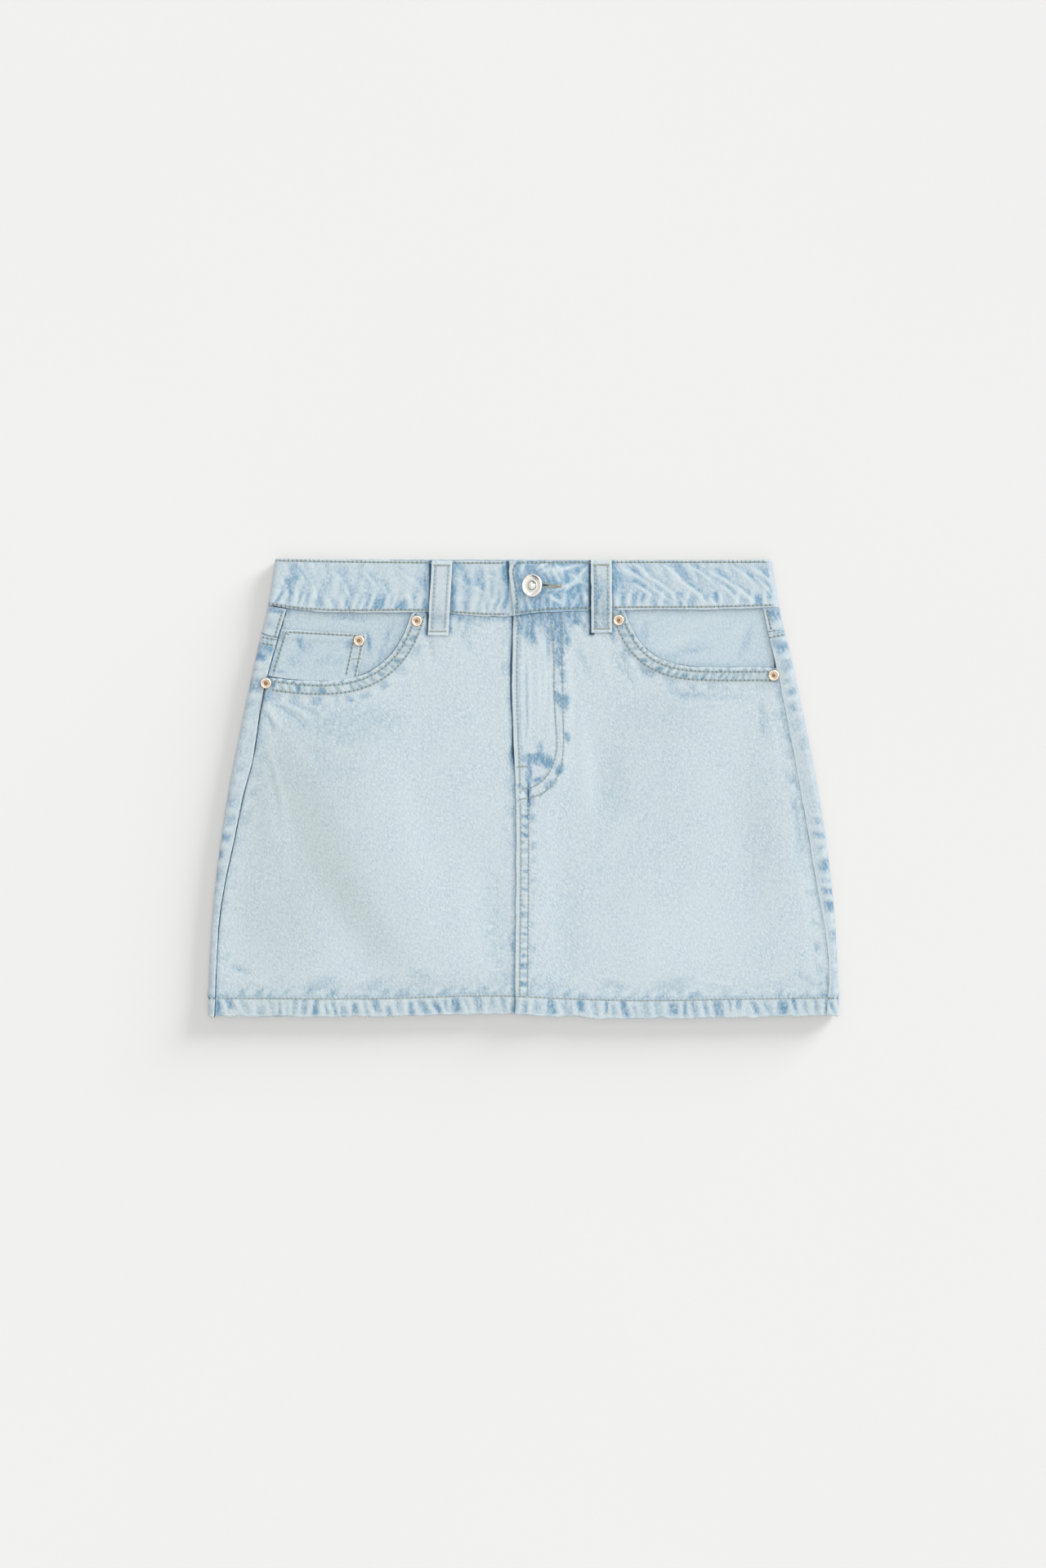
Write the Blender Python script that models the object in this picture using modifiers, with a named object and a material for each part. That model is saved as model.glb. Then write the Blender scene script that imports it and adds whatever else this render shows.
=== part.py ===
"""A light blue denim mini skirt, laid flat on its back with the front up.

Frame: metres. +X is the wearer's left, +Y runs from the hem to the waist, +Z is up from the surface.
The origin is at the middle of the footprint, on the surface. "right" and "left" are the wearer's.
"""

import math

import bmesh
import bpy
import numpy as np

# Cloth
CLOTH = 0.0012  # one layer of denim
GAP = 0.0003  # between pieces at a seam
SIDE_GAP = 0.0005  # beside the curved side seams and the waistband, whose facets differ
HEM_DEPTH = 0.0145  # from the lower edge to the hem's stitching
HEM_WALL = 0.0022  # turned hem
BAND_WALL = 0.0022  # doubled waistband
LOOP_WALL = 0.0013

# Heights above the surface
FRONT_INSIDE = 0.0064  # the front's inner face where it lies lowest
LAP_RISE = CLOTH + GAP  # the left front lies over the right one at the fly
FOLD_REACH = 0.0048  # how far in from the side the fold rounds over
SEAM_RIDGE = 0.0005  # the back's pressed edge stands above the front beside the side seam

# Outline. Each row: height on the skirt, half width at the folded side
FOLD_LINE = (
    (-0.1775, 0.2436),
    (-0.1480, 0.2430),
    (-0.0980, 0.2402),
    (-0.0470, 0.2346),
    (0.0030, 0.2268),
    (0.0540, 0.2168),
    (0.1040, 0.2060),
    (0.1390, 0.1976),
    (0.1775, 0.1914),
)
# Each row: height on the skirt, how far the side seam lies inside the fold on the right and on the left
SIDE_SEAM = (
    (-0.1775, 0.0052, 0.0098),
    (-0.1370, 0.0056, 0.0070),
    (-0.1050, 0.0058, 0.0088),
    (-0.0720, 0.0075, 0.0120),
    (-0.0430, 0.0102, 0.0132),
    (-0.0030, 0.0122, 0.0140),
    (0.0220, 0.0142, 0.0140),
    (0.0600, 0.0125, 0.0136),
    (0.0870, 0.0122, 0.0132),
    (0.1050, 0.0130, 0.0132),
    (0.1390, 0.0148, 0.0128),
)
# Each row: place across the skirt, height of the lower edge
HEM_LINE = (
    (-0.2436, -0.1757),
    (-0.1200, -0.1762),
    (-0.0066, -0.1742),
    (0.0300, -0.1760),
    (0.0850, -0.1775),
    (0.1600, -0.1766),
    (0.2436, -0.1753),
)
# Each row: place across the skirt, the waistband's lower edge, its upper edge
BAND_LINES = (
    (-0.1980, 0.1412, 0.1775),
    (-0.1820, 0.1386, 0.1772),
    (-0.0730, 0.1356, 0.1757),
    (-0.0085, 0.1330, 0.1755),
    (0.0100, 0.1352, 0.1756),
    (0.0600, 0.1372, 0.1760),
    (0.1510, 0.1380, 0.1762),
    (0.1980, 0.1394, 0.1764),
)
# The same at the back
BACK_BAND_LINES = ((-0.1980, 0.1412, 0.1775), (0.0, 0.1386, 0.1766), (0.1980, 0.1394, 0.1764))
# Each row: height on the skirt, where the fly's edge and the centre front seam run
CENTRE_LINE = ((-0.1775, -0.0064), (0.0200, -0.0068), (0.0420, -0.0077), (0.0830, -0.0088), (0.1330, -0.0078))

# Pocket mouths, each a cubic curve from the waist to the side: start, two pulls, end
MOUTH = {
    "right": ((-0.0866, 0.1346), (-0.1020, 0.0790), (-0.1440, 0.0780), (-0.1995, 0.0870)),
    "left": ((0.0784, 0.1370), (0.0950, 0.0846), (0.1267, 0.0947), (0.1950, 0.0932)),
}
MOUTH_EDGE = 0.0105  # width of the mouth's turned edge
MOUTH_RAISE = 0.0007
FACING_UNDER = 0.0140  # how far the facing goes on under the front, below the mouth
FACING_TUCK = 0.0040  # how far it goes up under the waistband

# Back yoke: the height of its lower seam at the centre back and at the side fold
YOKE_CENTRE = 0.0850
YOKE_SIDE = 0.1205

# Fly
UNDERLAP = 0.0060  # the right front ends here, under the left one
FLY_FOOT = 0.0000  # height where the fly's facing ends
FLY_RISE = (0.0260, 0.0400)  # the left front comes down between these, beside the fly
SEAM_RISE = (0.0080, 0.0180)  # and between these, beside the centre seam below it

# Waistband ends
TAB_END = (-0.0081, -0.0113)  # the tab's end at its foot and at its top
TAB_RISE = (0.0200, 0.0420)  # the tab comes down to the band's own level between these
BAND_UNDER_END = 0.0140
BAND_TAB_RISE = BAND_WALL + GAP

# Coin pocket on the right facing
COIN_TOP_SIDE = 0.1229
COIN_TOP_INNER = (-0.1207, 0.1191)
COIN_FOOT_INNER = (-0.1276, 0.0868)
COIN_TOP_RAISE = 0.0006

# Belt loops. Each row: name, centre at the top, centre at the foot, height of its foot
FRONT_LOOPS = (("right", -0.0627, -0.0658, 0.1180), ("left", 0.0600, 0.0604, 0.1200))
BACK_LOOPS = (("right", -0.1150), ("centre", 0.0), ("left", 0.1150))
LOOP_WIDTH = 0.0160
LOOP_BOW = 0.0012
BACK_LOOP_LENGTH = 0.0560
BACK_LOOP_CLEAR = 0.0030  # how far beside a back loop the cloth starts to rise over it
BACK_LOOP_BELOW = 0.0190  # how far below the band's edge it stays risen

# Broad folds of the front: ridges from start to end with a half width and a height
FOLDS = (
    {"start": (-0.150, 0.045), "end": (-0.062, -0.130), "half_width": 0.036, "height": 0.0017},
    {"start": (-0.050, 0.085), "end": (-0.045, -0.020), "half_width": 0.030, "height": 0.0008},
    {"start": (0.125, 0.055), "end": (0.100, -0.120), "half_width": 0.040, "height": 0.0013},
    {"start": (0.195, -0.010), "end": (0.205, -0.125), "half_width": 0.022, "height": 0.0009},
    {"start": (-0.200, 0.030), "end": (-0.192, -0.040), "half_width": 0.009, "height": 0.0009},
)
FOLD_EASE = 0.022  # folds die away this near the side, the hem and the waist

# Metal
RIVET_RADIUS = 0.00425
# Each row: name, place across, height on the skirt, how far what it sits on stands above the front there
RIVETS = (
    ("rivet_1", -0.0822, 0.1292, 0.0),
    ("rivet_2", -0.1268, 0.1140, COIN_TOP_RAISE),
    ("rivet_3", -0.1985, 0.0812, SEAM_RIDGE),
    ("rivet_4", 0.0734, 0.1298, 0.0),
    ("rivet_5", 0.1930, 0.0872, SEAM_RIDGE),
)
RIVET_PROFILE = (
    (0.00000, 0.0017), (0.00070, 0.0017), (0.00110, 0.0008), (0.00240, 0.0008),
    (0.00310, 0.0012), (0.00385, 0.0010), (0.00425, 0.0003), (0.00425, 0.0000), (0.00000, 0.0000),
)
BUTTON_PLACE = (0.0066, 0.1562)
BUTTON_PROFILE = (
    (0.0000, 0.0054), (0.0024, 0.0053), (0.0035, 0.0047), (0.0050, 0.0048), (0.0066, 0.0053),
    (0.0080, 0.0052), (0.0090, 0.0046), (0.0090, 0.0038), (0.0082, 0.0032), (0.0026, 0.0028),
    (0.0026, 0.0000), (0.0000, 0.0000),
)
BUTTON_TILT = math.radians(16)
BUTTON_LIFT = 0.0011  # keeps the tilted shank clear of the tab

SIGN = {"right": -1, "left": 1}


# Lines and steps

def along(table, column):
    """A smooth function through one column of a table, against its first column."""
    places = [row[0] for row in table]
    values = [row[column] for row in table]
    slopes = np.gradient(values, places)

    def value(place):
        place = min(max(place, places[0]), places[-1])
        k = min(max(int(np.searchsorted(places, place)) - 1, 0), len(places) - 2)
        span = places[k + 1] - places[k]
        t = (place - places[k]) / span
        start = values[k] * (1 + 2 * t) * (1 - t) ** 2 + slopes[k] * span * t * (1 - t) ** 2
        end = values[k + 1] * t * t * (3 - 2 * t) + slopes[k + 1] * span * t * t * (t - 1)
        return float(start + end)

    return value


fold_at = along(FOLD_LINE, 1)
seam_inset = {"right": along(SIDE_SEAM, 1), "left": along(SIDE_SEAM, 2)}
hem_at = along(HEM_LINE, 1)
band_low = along(BAND_LINES, 1)
band_high = along(BAND_LINES, 2)
back_band_low = along(BACK_BAND_LINES, 1)
back_band_high = along(BACK_BAND_LINES, 2)
centre_at = along(CENTRE_LINE, 1)


def soft_step(low, high, value):
    t = min(max((value - low) / (high - low), 0.0), 1.0)
    return t * t * (3 - 2 * t)


def cubic(pulls, t):
    a, b, c, d = (np.array(p) for p in pulls)
    return (1 - t) ** 3 * a + 3 * (1 - t) ** 2 * t * b + 3 * (1 - t) * t * t * c + t ** 3 * d


MOUTH_POINTS = {side: np.array([cubic(MOUTH[side], t) for t in np.linspace(0, 1, 60)]) for side in MOUTH}


def mouth_distance(side, x, y):
    return float(np.hypot(*(MOUTH_POINTS[side] - (x, y)).T).min())


def seam_at(side, y):
    """Place across the skirt of the side seam on the front."""
    return SIGN[side] * (fold_at(y) - seam_inset[side](y))


# Heights

def ridge(fold, x, y):
    start, end = np.array(fold["start"]), np.array(fold["end"])
    run = end - start
    t = min(max(float(np.dot((x, y) - start, run) / np.dot(run, run)), 0.0), 1.0)
    away = math.hypot(*((x, y) - (start + t * run)))
    return fold["height"] * math.exp(-((away / fold["half_width"]) ** 2))


def folds(x, y):
    """How far the front's broad folds lift it."""
    ease = soft_step(0, FOLD_EASE, fold_at(y) - abs(x) - FOLD_REACH)
    ease *= soft_step(0, FOLD_EASE, y - hem_at(x) - HEM_DEPTH)
    ease *= soft_step(0, FOLD_EASE, band_low(x) - y)
    return ease * sum(ridge(fold, x, y) for fold in FOLDS)


def lap(x, y):
    """How far the left front is lifted over the right one."""
    fly = soft_step(FLY_FOOT - 0.015, FLY_FOOT + 0.012, y)
    start = SEAM_RISE[0] + fly * (FLY_RISE[0] - SEAM_RISE[0])
    end = SEAM_RISE[1] + fly * (FLY_RISE[1] - SEAM_RISE[1])
    return LAP_RISE * (1 - soft_step(start, end, x))


def front_wall(x, y):
    """Thickness of a front panel: one layer, more at the hem and along a pocket mouth."""
    hem = (HEM_WALL - CLOTH) * (1 - soft_step(HEM_DEPTH - 0.0005, HEM_DEPTH + 0.0020, y - hem_at(x)))
    near = mouth_distance("right" if x < 0 else "left", x, y)
    mouth = MOUTH_RAISE * (1 - soft_step(MOUTH_EDGE, MOUTH_EDGE + 0.0030, near))
    return CLOTH + max(hem, mouth)


def front_top(x, y):
    """The front's outer face, without the lap at the fly, falling to the fold at the sides."""
    top = FRONT_INSIDE + folds(x, y) + front_wall(x, y)
    inset = fold_at(y) - abs(x)
    if inset >= FOLD_REACH:
        return top
    share = 1 - max(inset, 0) / FOLD_REACH
    return top / 2 * (1 + math.sqrt(max(1 - share * share, 0)))


def back_rise(x, y):
    """How far the back's underside rises over the belt loops that it lies on."""
    rise = 0.0
    for _, centre in BACK_LOOPS:
        beside = abs(x - centre) - LOOP_WIDTH / 2 - GAP
        below = back_band_low(x) - SIDE_GAP - BACK_LOOP_BELOW - y
        away = max(beside, below)
        rise = max(rise, 1 - soft_step(0, BACK_LOOP_CLEAR, away))
    return rise * (LOOP_WALL + GAP)


# Making meshes

def linear(channel):
    return channel / 12.92 if channel <= 0.04045 else ((channel + 0.055) / 1.055) ** 2.4


def finish(name, hex_colour, roughness, metallic=0.0):
    material = bpy.data.materials.new(name)
    material.use_nodes = True
    shader = material.node_tree.nodes["Principled BSDF"]
    colour = [linear(int(hex_colour[k:k + 2], 16) / 255) for k in (0, 2, 4)]
    shader.inputs["Base Color"].default_value = (*colour, 1)
    shader.inputs["Roughness"].default_value = roughness
    shader.inputs["Metallic"].default_value = metallic
    material.diffuse_color = (*colour, 1)
    return material


def put(mesh, name, material, collection):
    mesh.materials.append(material)
    mesh.shade_smooth()
    mesh.set_sharp_from_angle(angle=math.radians(40))
    piece = bpy.data.objects.new(name, mesh)
    collection.objects.link(piece)
    return piece


def cloth(name, rows, wall, material, collection, outward=True, face_up=True):
    """An open surface lofted through rows of points, thickened to its wall at each point.

    The points are the inner face when the wall grows outward, and the outer face when it grows inward.
    """
    mesh = bpy.data.meshes.new(name)
    shape = bmesh.new()
    grid = [[shape.verts.new(point) for point in row] for row in rows]
    for low, high in zip(grid, grid[1:]):
        for a, b, c, d in zip(low, low[1:], high[1:], high):
            shape.faces.new((a, b, c, d) if face_up else (d, c, b, a))
    shape.to_mesh(mesh)
    shape.free()
    piece = put(mesh, name, material, collection)
    walls = [wall(*point[:2]) if callable(wall) else wall for row in rows for point in row]
    widest = max(walls)
    group = piece.vertex_groups.new(name="wall")
    for index, share in enumerate(walls):
        group.add([index], share / widest, "REPLACE")
    thick = piece.modifiers.new("Wall", "SOLIDIFY")
    thick.thickness = widest
    thick.offset = 1 if outward else -1
    thick.vertex_group = group.name
    return piece


def turned(name, profile, steps, material, collection):
    """A round piece: its profile from the top centre down its outer side, turned about Z."""
    mesh = bpy.data.meshes.new(name)
    shape = bmesh.new()
    points = [shape.verts.new((radius, 0, height)) for radius, height in profile]
    for a, b in zip(points, points[1:]):
        shape.edges.new((a, b))
    shape.to_mesh(mesh)
    shape.free()
    piece = put(mesh, name, material, collection)
    screw = piece.modifiers.new("Turn", "SCREW")
    screw.steps = screw.render_steps = steps
    screw.use_merge_vertices = True
    screw.merge_threshold = 0.00001
    return piece


# Fronts

def spread(count, start=0.0, end=1.0, power=1.0):
    return [start + (end - start) * (k / count) ** power for k in range(count + 1)]


def patch_rows(low, high, inner, outer, columns, stations):
    """Rows of plan points inside four edges. A station is a share, or a distance from the low or high edge."""
    corners = low(0), low(1), high(0), high(1)
    lines = []
    for u in columns:
        foot, head = low(u), high(u)
        length = math.hypot(*(head - foot))
        line = []
        for kind, amount in stations:
            v = {"share": amount, "low": amount / length, "high": 1 - amount / length}[kind]
            point = (1 - v) * foot + v * head + (1 - u) * inner(v) + u * outer(v)
            point -= (1 - u) * (1 - v) * corners[0] + u * (1 - v) * corners[1]
            point -= (1 - u) * v * corners[2] + u * v * corners[3]
            line.append(point)
        lines.append(line)
    return [[line[k] for line in lines] for k in range(len(stations))]


def front_panel(side, material, collection):
    sign = SIGN[side]
    waist_start, mouth_start = 0.36, MOUTH[side][0]

    def centre_edge(y):
        return UNDERLAP if side == "right" else centre_at(y)

    foot_y = hem_at(centre_edge(-0.17))
    head_y = band_low(centre_edge(0.13)) - SIDE_GAP
    side_head = MOUTH[side][3][1]
    side_foot = hem_at(sign * 0.24)

    def low(u):
        start, end = centre_edge(foot_y), seam_at(side, side_foot) - sign * SIDE_GAP
        x = start + (end - start) * u
        return np.array((x, hem_at(x)))

    def high(u):
        if u < waist_start:
            start = centre_edge(head_y)
            x = start + (mouth_start[0] - start) * u / waist_start
            return np.array((x, band_low(x) - SIDE_GAP))
        point = cubic(MOUTH[side], (u - waist_start) / (1 - waist_start))
        limit = seam_at(side, point[1]) - sign * SIDE_GAP
        return np.array((sign * min(sign * point[0], sign * limit), min(point[1], band_low(point[0]) - SIDE_GAP)))

    def inner(v):
        y = foot_y + (head_y - foot_y) * v
        return np.array((centre_edge(y), y))

    def outer(v):
        y = side_foot + (side_head - side_foot) * v
        return np.array((seam_at(side, y) - sign * SIDE_GAP, y))

    columns = [0.0, 0.025, 0.0518, 0.0590, 0.080] + spread(6, 0.11, waist_start) + spread(13, waist_start, 1.0)[1:]
    stations = [("low", 0.0), ("low", HEM_DEPTH - 0.0005), ("low", HEM_DEPTH + 0.0020), ("low", 0.026)]
    stations += [("share", v) for v in spread(11, 0.15, 0.90)]
    stations += [("high", 0.0150), ("high", 0.0105), ("high", 0.0)]
    rows = patch_rows(low, high, inner, outer, columns, stations)

    def wall(x, y):
        under = 1 - soft_step(0.0008, 0.0018, centre_at(y) - x) if side == "right" else 0.0
        return front_wall(x, y) + (CLOTH - front_wall(x, y)) * under

    def height(x, y):
        rise = lap(x, y) if side == "left" else 0.0
        return front_top(x, y) - front_wall(x, y) + rise

    points = [[(x, y, height(x, y)) for x, y in row] for row in rows]
    return cloth(f"front_panel_{side}", points, wall, material, collection, face_up=side == "left")


def pocket_facing(side, material, collection):
    """The cloth seen through the scooped mouth, which goes on under the front and the waistband."""
    sign = SIGN[side]
    start_x = MOUTH[side][0][0] - sign * 0.010
    end_inset = FOLD_REACH + 0.0015

    def side_x(y):
        return sign * (fold_at(y) - end_inset)

    def high(u):
        x = start_x + (side_x(0.140) - start_x) * u
        return np.array((x, band_low(x) + FACING_TUCK))

    def low(u):
        point = cubic(MOUTH[side], u)
        ahead = cubic(MOUTH[side], min(u + 0.01, 1)) - cubic(MOUTH[side], max(u - 0.01, 0))
        ahead /= np.hypot(*ahead)
        down = np.array((ahead[1], -ahead[0])) * sign
        point = point + down * FACING_UNDER
        return np.array((sign * min(sign * point[0], sign * side_x(point[1])), point[1]))

    def edge(u):
        return lambda v: low(u) + (high(u) - low(u)) * v

    stations = [("share", v) for v in spread(5)]
    rows = patch_rows(low, high, edge(0), edge(1), spread(12), stations)

    def height(x, y):
        return FRONT_INSIDE + folds(x, y) - GAP - CLOTH

    points = [[(x, y, height(x, y)) for x, y in row] for row in rows]
    return cloth(f"pocket_facing_{side}", points, CLOTH, material, collection, face_up=side == "left")


def coin_pocket(material, collection):
    top_side = np.array((seam_at("right", COIN_TOP_SIDE) + SIDE_GAP, COIN_TOP_SIDE))
    top_inner, foot_inner = np.array(COIN_TOP_INNER), np.array(COIN_FOOT_INNER)

    def mouth_above(x):
        """A point just above the pocket mouth's edge."""
        point = MOUTH_POINTS["right"][np.abs(MOUTH_POINTS["right"][:, 0] - x).argmin()]
        return np.array((x, point[1] + 2 * GAP))

    foot_side = np.array((seam_at("right", 0.0880) + SIDE_GAP, 0.0880))

    def low(u):
        return mouth_above(foot_inner[0] + (foot_side[0] - foot_inner[0]) * u)

    def high(u):
        return top_inner + (top_side - top_inner) * u

    def inner(v):
        return low(0) + (high(0) - low(0)) * v

    def outer(v):
        y = low(1)[1] + (high(1)[1] - low(1)[1]) * v
        return np.array((seam_at("right", y) + SIDE_GAP, y))

    stations = [("share", v) for v in spread(3, 0, 0.75)] + [("high", 0.0075), ("high", 0.0060), ("high", 0.0)]
    rows = patch_rows(low, high, inner, outer, spread(8), stations)

    def wall(x, y):
        edge = top_inner[1] + (top_side[1] - top_inner[1]) * (x - top_inner[0]) / (top_side[0] - top_inner[0])
        return CLOTH + COIN_TOP_RAISE * (1 - soft_step(0.0060, 0.0075, edge - y))

    points = [[(x, y, FRONT_INSIDE + folds(x, y)) for x, y in row] for row in rows]
    return cloth("coin_pocket_right", points, wall, material, collection, face_up=False)


# Backs

def yoke_line(side, x):
    """The height of the yoke's seam on the flat of the back."""
    return YOKE_CENTRE + (YOKE_SIDE - YOKE_CENTRE) * min(abs(x) / fold_at(YOKE_SIDE), 1)


# Columns of the back's flat: its middle, then both sides of each belt loop, then the fold's start
FLAT_PLACES = (GAP / 2, 0.0083, 0.0113, 0.0400, 0.0720, 0.1037, 0.1067, 0.1233, 0.1263, 0.1550)
FLAT_COLUMNS = len(FLAT_PLACES)
FOLD_STEPS = 5
STRIP_STEPS = 4


def back_point(side, column, y):
    """A point of the back's outer face: along the flat, round the fold, then along the strip on the front."""
    sign = SIGN[side]
    fold = fold_at(y)
    flat_end = fold - FOLD_REACH
    if column < FLAT_COLUMNS:
        x = sign * FLAT_PLACES[column]
        return x, y, back_rise(x, y)
    if column <= FLAT_COLUMNS + FOLD_STEPS:
        angle = math.pi / 2 * (column - FLAT_COLUMNS) / FOLD_STEPS
        half = front_top(sign * fold, y)
        return sign * (flat_end + FOLD_REACH * math.sin(angle)), y, half * (1 - math.cos(angle))
    share = (column - FLAT_COLUMNS - FOLD_STEPS) / STRIP_STEPS
    inset = seam_inset[side](y) * share ** 1.7
    x = sign * (fold - inset)
    return x, y, front_top(x, y) + SEAM_RIDGE * soft_step(0, 0.6, share)


def back_piece(name, side, low, high, stations, wall, material, collection):
    """A back panel or yoke between two lines that are given as heights for each column."""
    rows = []
    for kind, amount in stations:
        row = []
        for column in range(FLAT_COLUMNS + FOLD_STEPS + STRIP_STEPS + 1):
            foot, head = low(column), high(column)
            if kind == "share":
                y = foot + (head - foot) * amount
            elif kind == "low":
                y = foot + amount
            else:
                distance, most = amount
                y = head - min(distance, most * (head - foot))
            row.append(back_point(side, column, y))
        rows.append(row)
    return cloth(name, rows, wall, material, collection, outward=False, face_up=side == "right")


def column_x(side, column, y):
    return back_point(side, column, y)[0]


def yoke_seam(side, column):
    if column <= FLAT_COLUMNS + FOLD_STEPS:
        return yoke_line(side, column_x(side, column, YOKE_SIDE))
    share = (column - FLAT_COLUMNS - FOLD_STEPS) / STRIP_STEPS
    end = {"right": 0.1163, "left": 0.1226}[side]
    return YOKE_SIDE + (end - YOKE_SIDE) * share


def back_panel(side, material, collection):
    def low(column):
        return hem_at(column_x(side, column, -0.1757))

    def high(column):
        return yoke_seam(side, column) - GAP / 2

    def wall(x, y):
        return CLOTH + (HEM_WALL - CLOTH) * (1 - soft_step(HEM_DEPTH - 0.0005, HEM_DEPTH + 0.0020, y - hem_at(x)))

    stations = [("low", 0.0), ("low", HEM_DEPTH - 0.0005), ("low", HEM_DEPTH + 0.0020)]
    stations += [("share", v) for v in spread(12, 0.12, 1.0)]
    return back_piece(f"back_panel_{side}", side, low, high, stations, wall, material, collection)


def back_yoke(side, material, collection):
    def low(column):
        return yoke_seam(side, column) + GAP / 2

    def high(column):
        x = column_x(side, column, 0.1390)
        return (back_band_low(x) if column <= FLAT_COLUMNS else band_low(x)) - SIDE_GAP

    below, clear = BACK_LOOP_BELOW, BACK_LOOP_CLEAR
    stations = [("share", 0.0), ("high", (below + clear, 0.85)), ("high", (below, 0.70))]
    stations += [("high", (below / 2, 0.40)), ("share", 1.0)]
    return back_piece(f"back_yoke_{side}", side, low, high, stations, CLOTH, material, collection)


# Waistband and loops

BAND_TOP = FRONT_INSIDE + BAND_WALL
BAND_FOLD = BAND_TOP / 2


def band_stations():
    """Places along the band's outer face, from the tab's end round the left side, the back and the right side."""
    front = [("tab", 0.0)]
    front += [("front", x) for x in (0.0, 0.010, TAB_RISE[0], 0.027, 0.035, TAB_RISE[1])]
    front += [("front", x) for x in (0.060, 0.090, 0.130, 0.165)]
    left = [("left", k / 8) for k in range(9)]
    back = []
    for _, centre in reversed(BACK_LOOPS):
        half, clear = LOOP_WIDTH / 2 + GAP, BACK_LOOP_CLEAR
        back += [("back", centre + offset) for offset in (half + clear, half, -half, -half - clear)]
    right = [("right", k / 8) for k in range(9)]
    under = [("front", -x) for x in (0.165, 0.130, 0.095, 0.070, 0.045, 0.020, 0.0)]
    return front + left + back + right + under + [("front", BAND_UNDER_END)]


def band_point(kind, amount, share, over):
    """A point of the band's outer face at a share of its depth."""
    if kind in ("left", "right"):
        sign = SIGN[kind]
        y = band_low(sign * 0.1980) + (band_high(sign * 0.1980) - band_low(sign * 0.1980)) * share
        angle = math.pi * (amount if kind == "left" else 1 - amount)
        x = sign * (fold_at(y) - BAND_FOLD + BAND_FOLD * math.sin(angle))
        return x, y, BAND_FOLD * (1 + math.cos(angle))
    x = TAB_END[0] + (TAB_END[1] - TAB_END[0]) * share if kind == "tab" else amount
    if kind == "back":
        y = back_band_low(x) + (back_band_high(x) - back_band_low(x)) * share
        return x, y, back_rise(x, y)
    y = band_low(x) + (band_high(x) - band_low(x)) * share
    rise = BAND_TAB_RISE * (1 - soft_step(*TAB_RISE, x)) if over else 0.0
    return x, y, BAND_TOP + rise


def waistband(material, collection):
    shares = (0.0, 0.05, 0.35, 0.65, 0.95, 1.0)
    stations = band_stations()
    rows = []
    for share in shares:
        over = True
        row = []
        for kind, amount in stations:
            over = over and kind in ("tab", "front")
            row.append(band_point(kind, amount, share, over))
        rows.append(row)

    def wall(x, y):
        edge = min(y - band_low(x), band_high(x) - y)
        return BAND_WALL * (0.82 + 0.18 * soft_step(0, 0.0018, edge))

    return cloth("waistband", rows, wall, material, collection, outward=False)


def front_loop(side, top_x, foot_x, foot_y, material, collection):
    """A strip from the band's upper edge down over the band and on to the panel."""
    top_y = band_high(top_x) + 0.0002
    rows = []
    for y in [top_y - (top_y - foot_y) * share for share in spread(12)]:
        centre = top_x + (foot_x - top_x) * (top_y - y) / (top_y - foot_y)
        on_band = soft_step(band_low(centre) - 0.0040, band_low(centre) - 0.0006, y)
        panel = front_top(centre, min(y, band_low(centre) - 0.002))
        bow = LOOP_BOW * math.sin(math.pi * (top_y - y) / (top_y - foot_y)) ** 1.5
        z = panel + (BAND_TOP - panel) * on_band + GAP + bow
        rows.append([(centre + LOOP_WIDTH * k / 2, y, z) for k in (-1, 0, 1)])
    return cloth(f"belt_loop_front_{side}", rows, LOOP_WALL, material, collection, face_up=False)


def back_loop(side, centre, material, collection):
    top = back_band_high(centre)
    rows = [[(centre + LOOP_WIDTH * k / 2, top - BACK_LOOP_LENGTH * share, 0.0) for k in (-1, 1)]
            for share in spread(4)]
    return cloth(f"belt_loop_back_{side}", rows, LOOP_WALL, material, collection, outward=False)


# Metal

def rivet(name, x, y, above, material, collection):
    piece = turned(name, RIVET_PROFILE, 16, material, collection)
    around = [(x + RIVET_RADIUS * math.cos(a), y + RIVET_RADIUS * math.sin(a)) for a in np.linspace(0, 6, 12)]
    piece.location = (x, y, max(front_top(*place) for place in around) + above + GAP)
    return piece


def button(material, collection):
    piece = turned("waist_button", BUTTON_PROFILE, 28, material, collection)
    x, y = BUTTON_PLACE
    piece.location = (x, y, BAND_TOP + BAND_TAB_RISE + BUTTON_LIFT)
    piece.rotation_euler = (0, -BUTTON_TILT, 0)
    return piece


def main():
    for old in list(bpy.data.objects):
        bpy.data.objects.remove(old, do_unlink=True)
    skirt = bpy.data.collections.new("denim_skirt")
    bpy.context.scene.collection.children.link(skirt)

    for side in ("right", "left"):
        back_panel(side, finish(f"back denim {side}", "B9CCD8", 0.9), skirt)
        back_yoke(side, finish(f"yoke denim {side}", "B3C8D5", 0.9), skirt)
        front_panel(side, finish(f"front denim {side}", "CAD9E0", 0.9), skirt)
        pocket_facing(side, finish(f"facing denim {side}", "C3D2DC", 0.9), skirt)
    coin_pocket(finish("coin pocket denim", "BFD0DA", 0.9), skirt)
    waistband(finish("waistband denim", "BECFD8", 0.9), skirt)
    for side, top_x, foot_x, foot_y in FRONT_LOOPS:
        front_loop(side, top_x, foot_x, foot_y, finish(f"front loop denim {side}", "C6D4DC", 0.9), skirt)
    for side, centre in BACK_LOOPS:
        back_loop(side, centre, finish(f"back loop denim {side}", "B9CCD8", 0.9), skirt)
    for name, x, y, above in RIVETS:
        rivet(name, x, y, above, finish(f"{name} metal", "C9A590", 0.35, 1.0), skirt)
    button(finish("button metal", "D9D6D2", 0.3, 1.0), skirt)


main()
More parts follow.
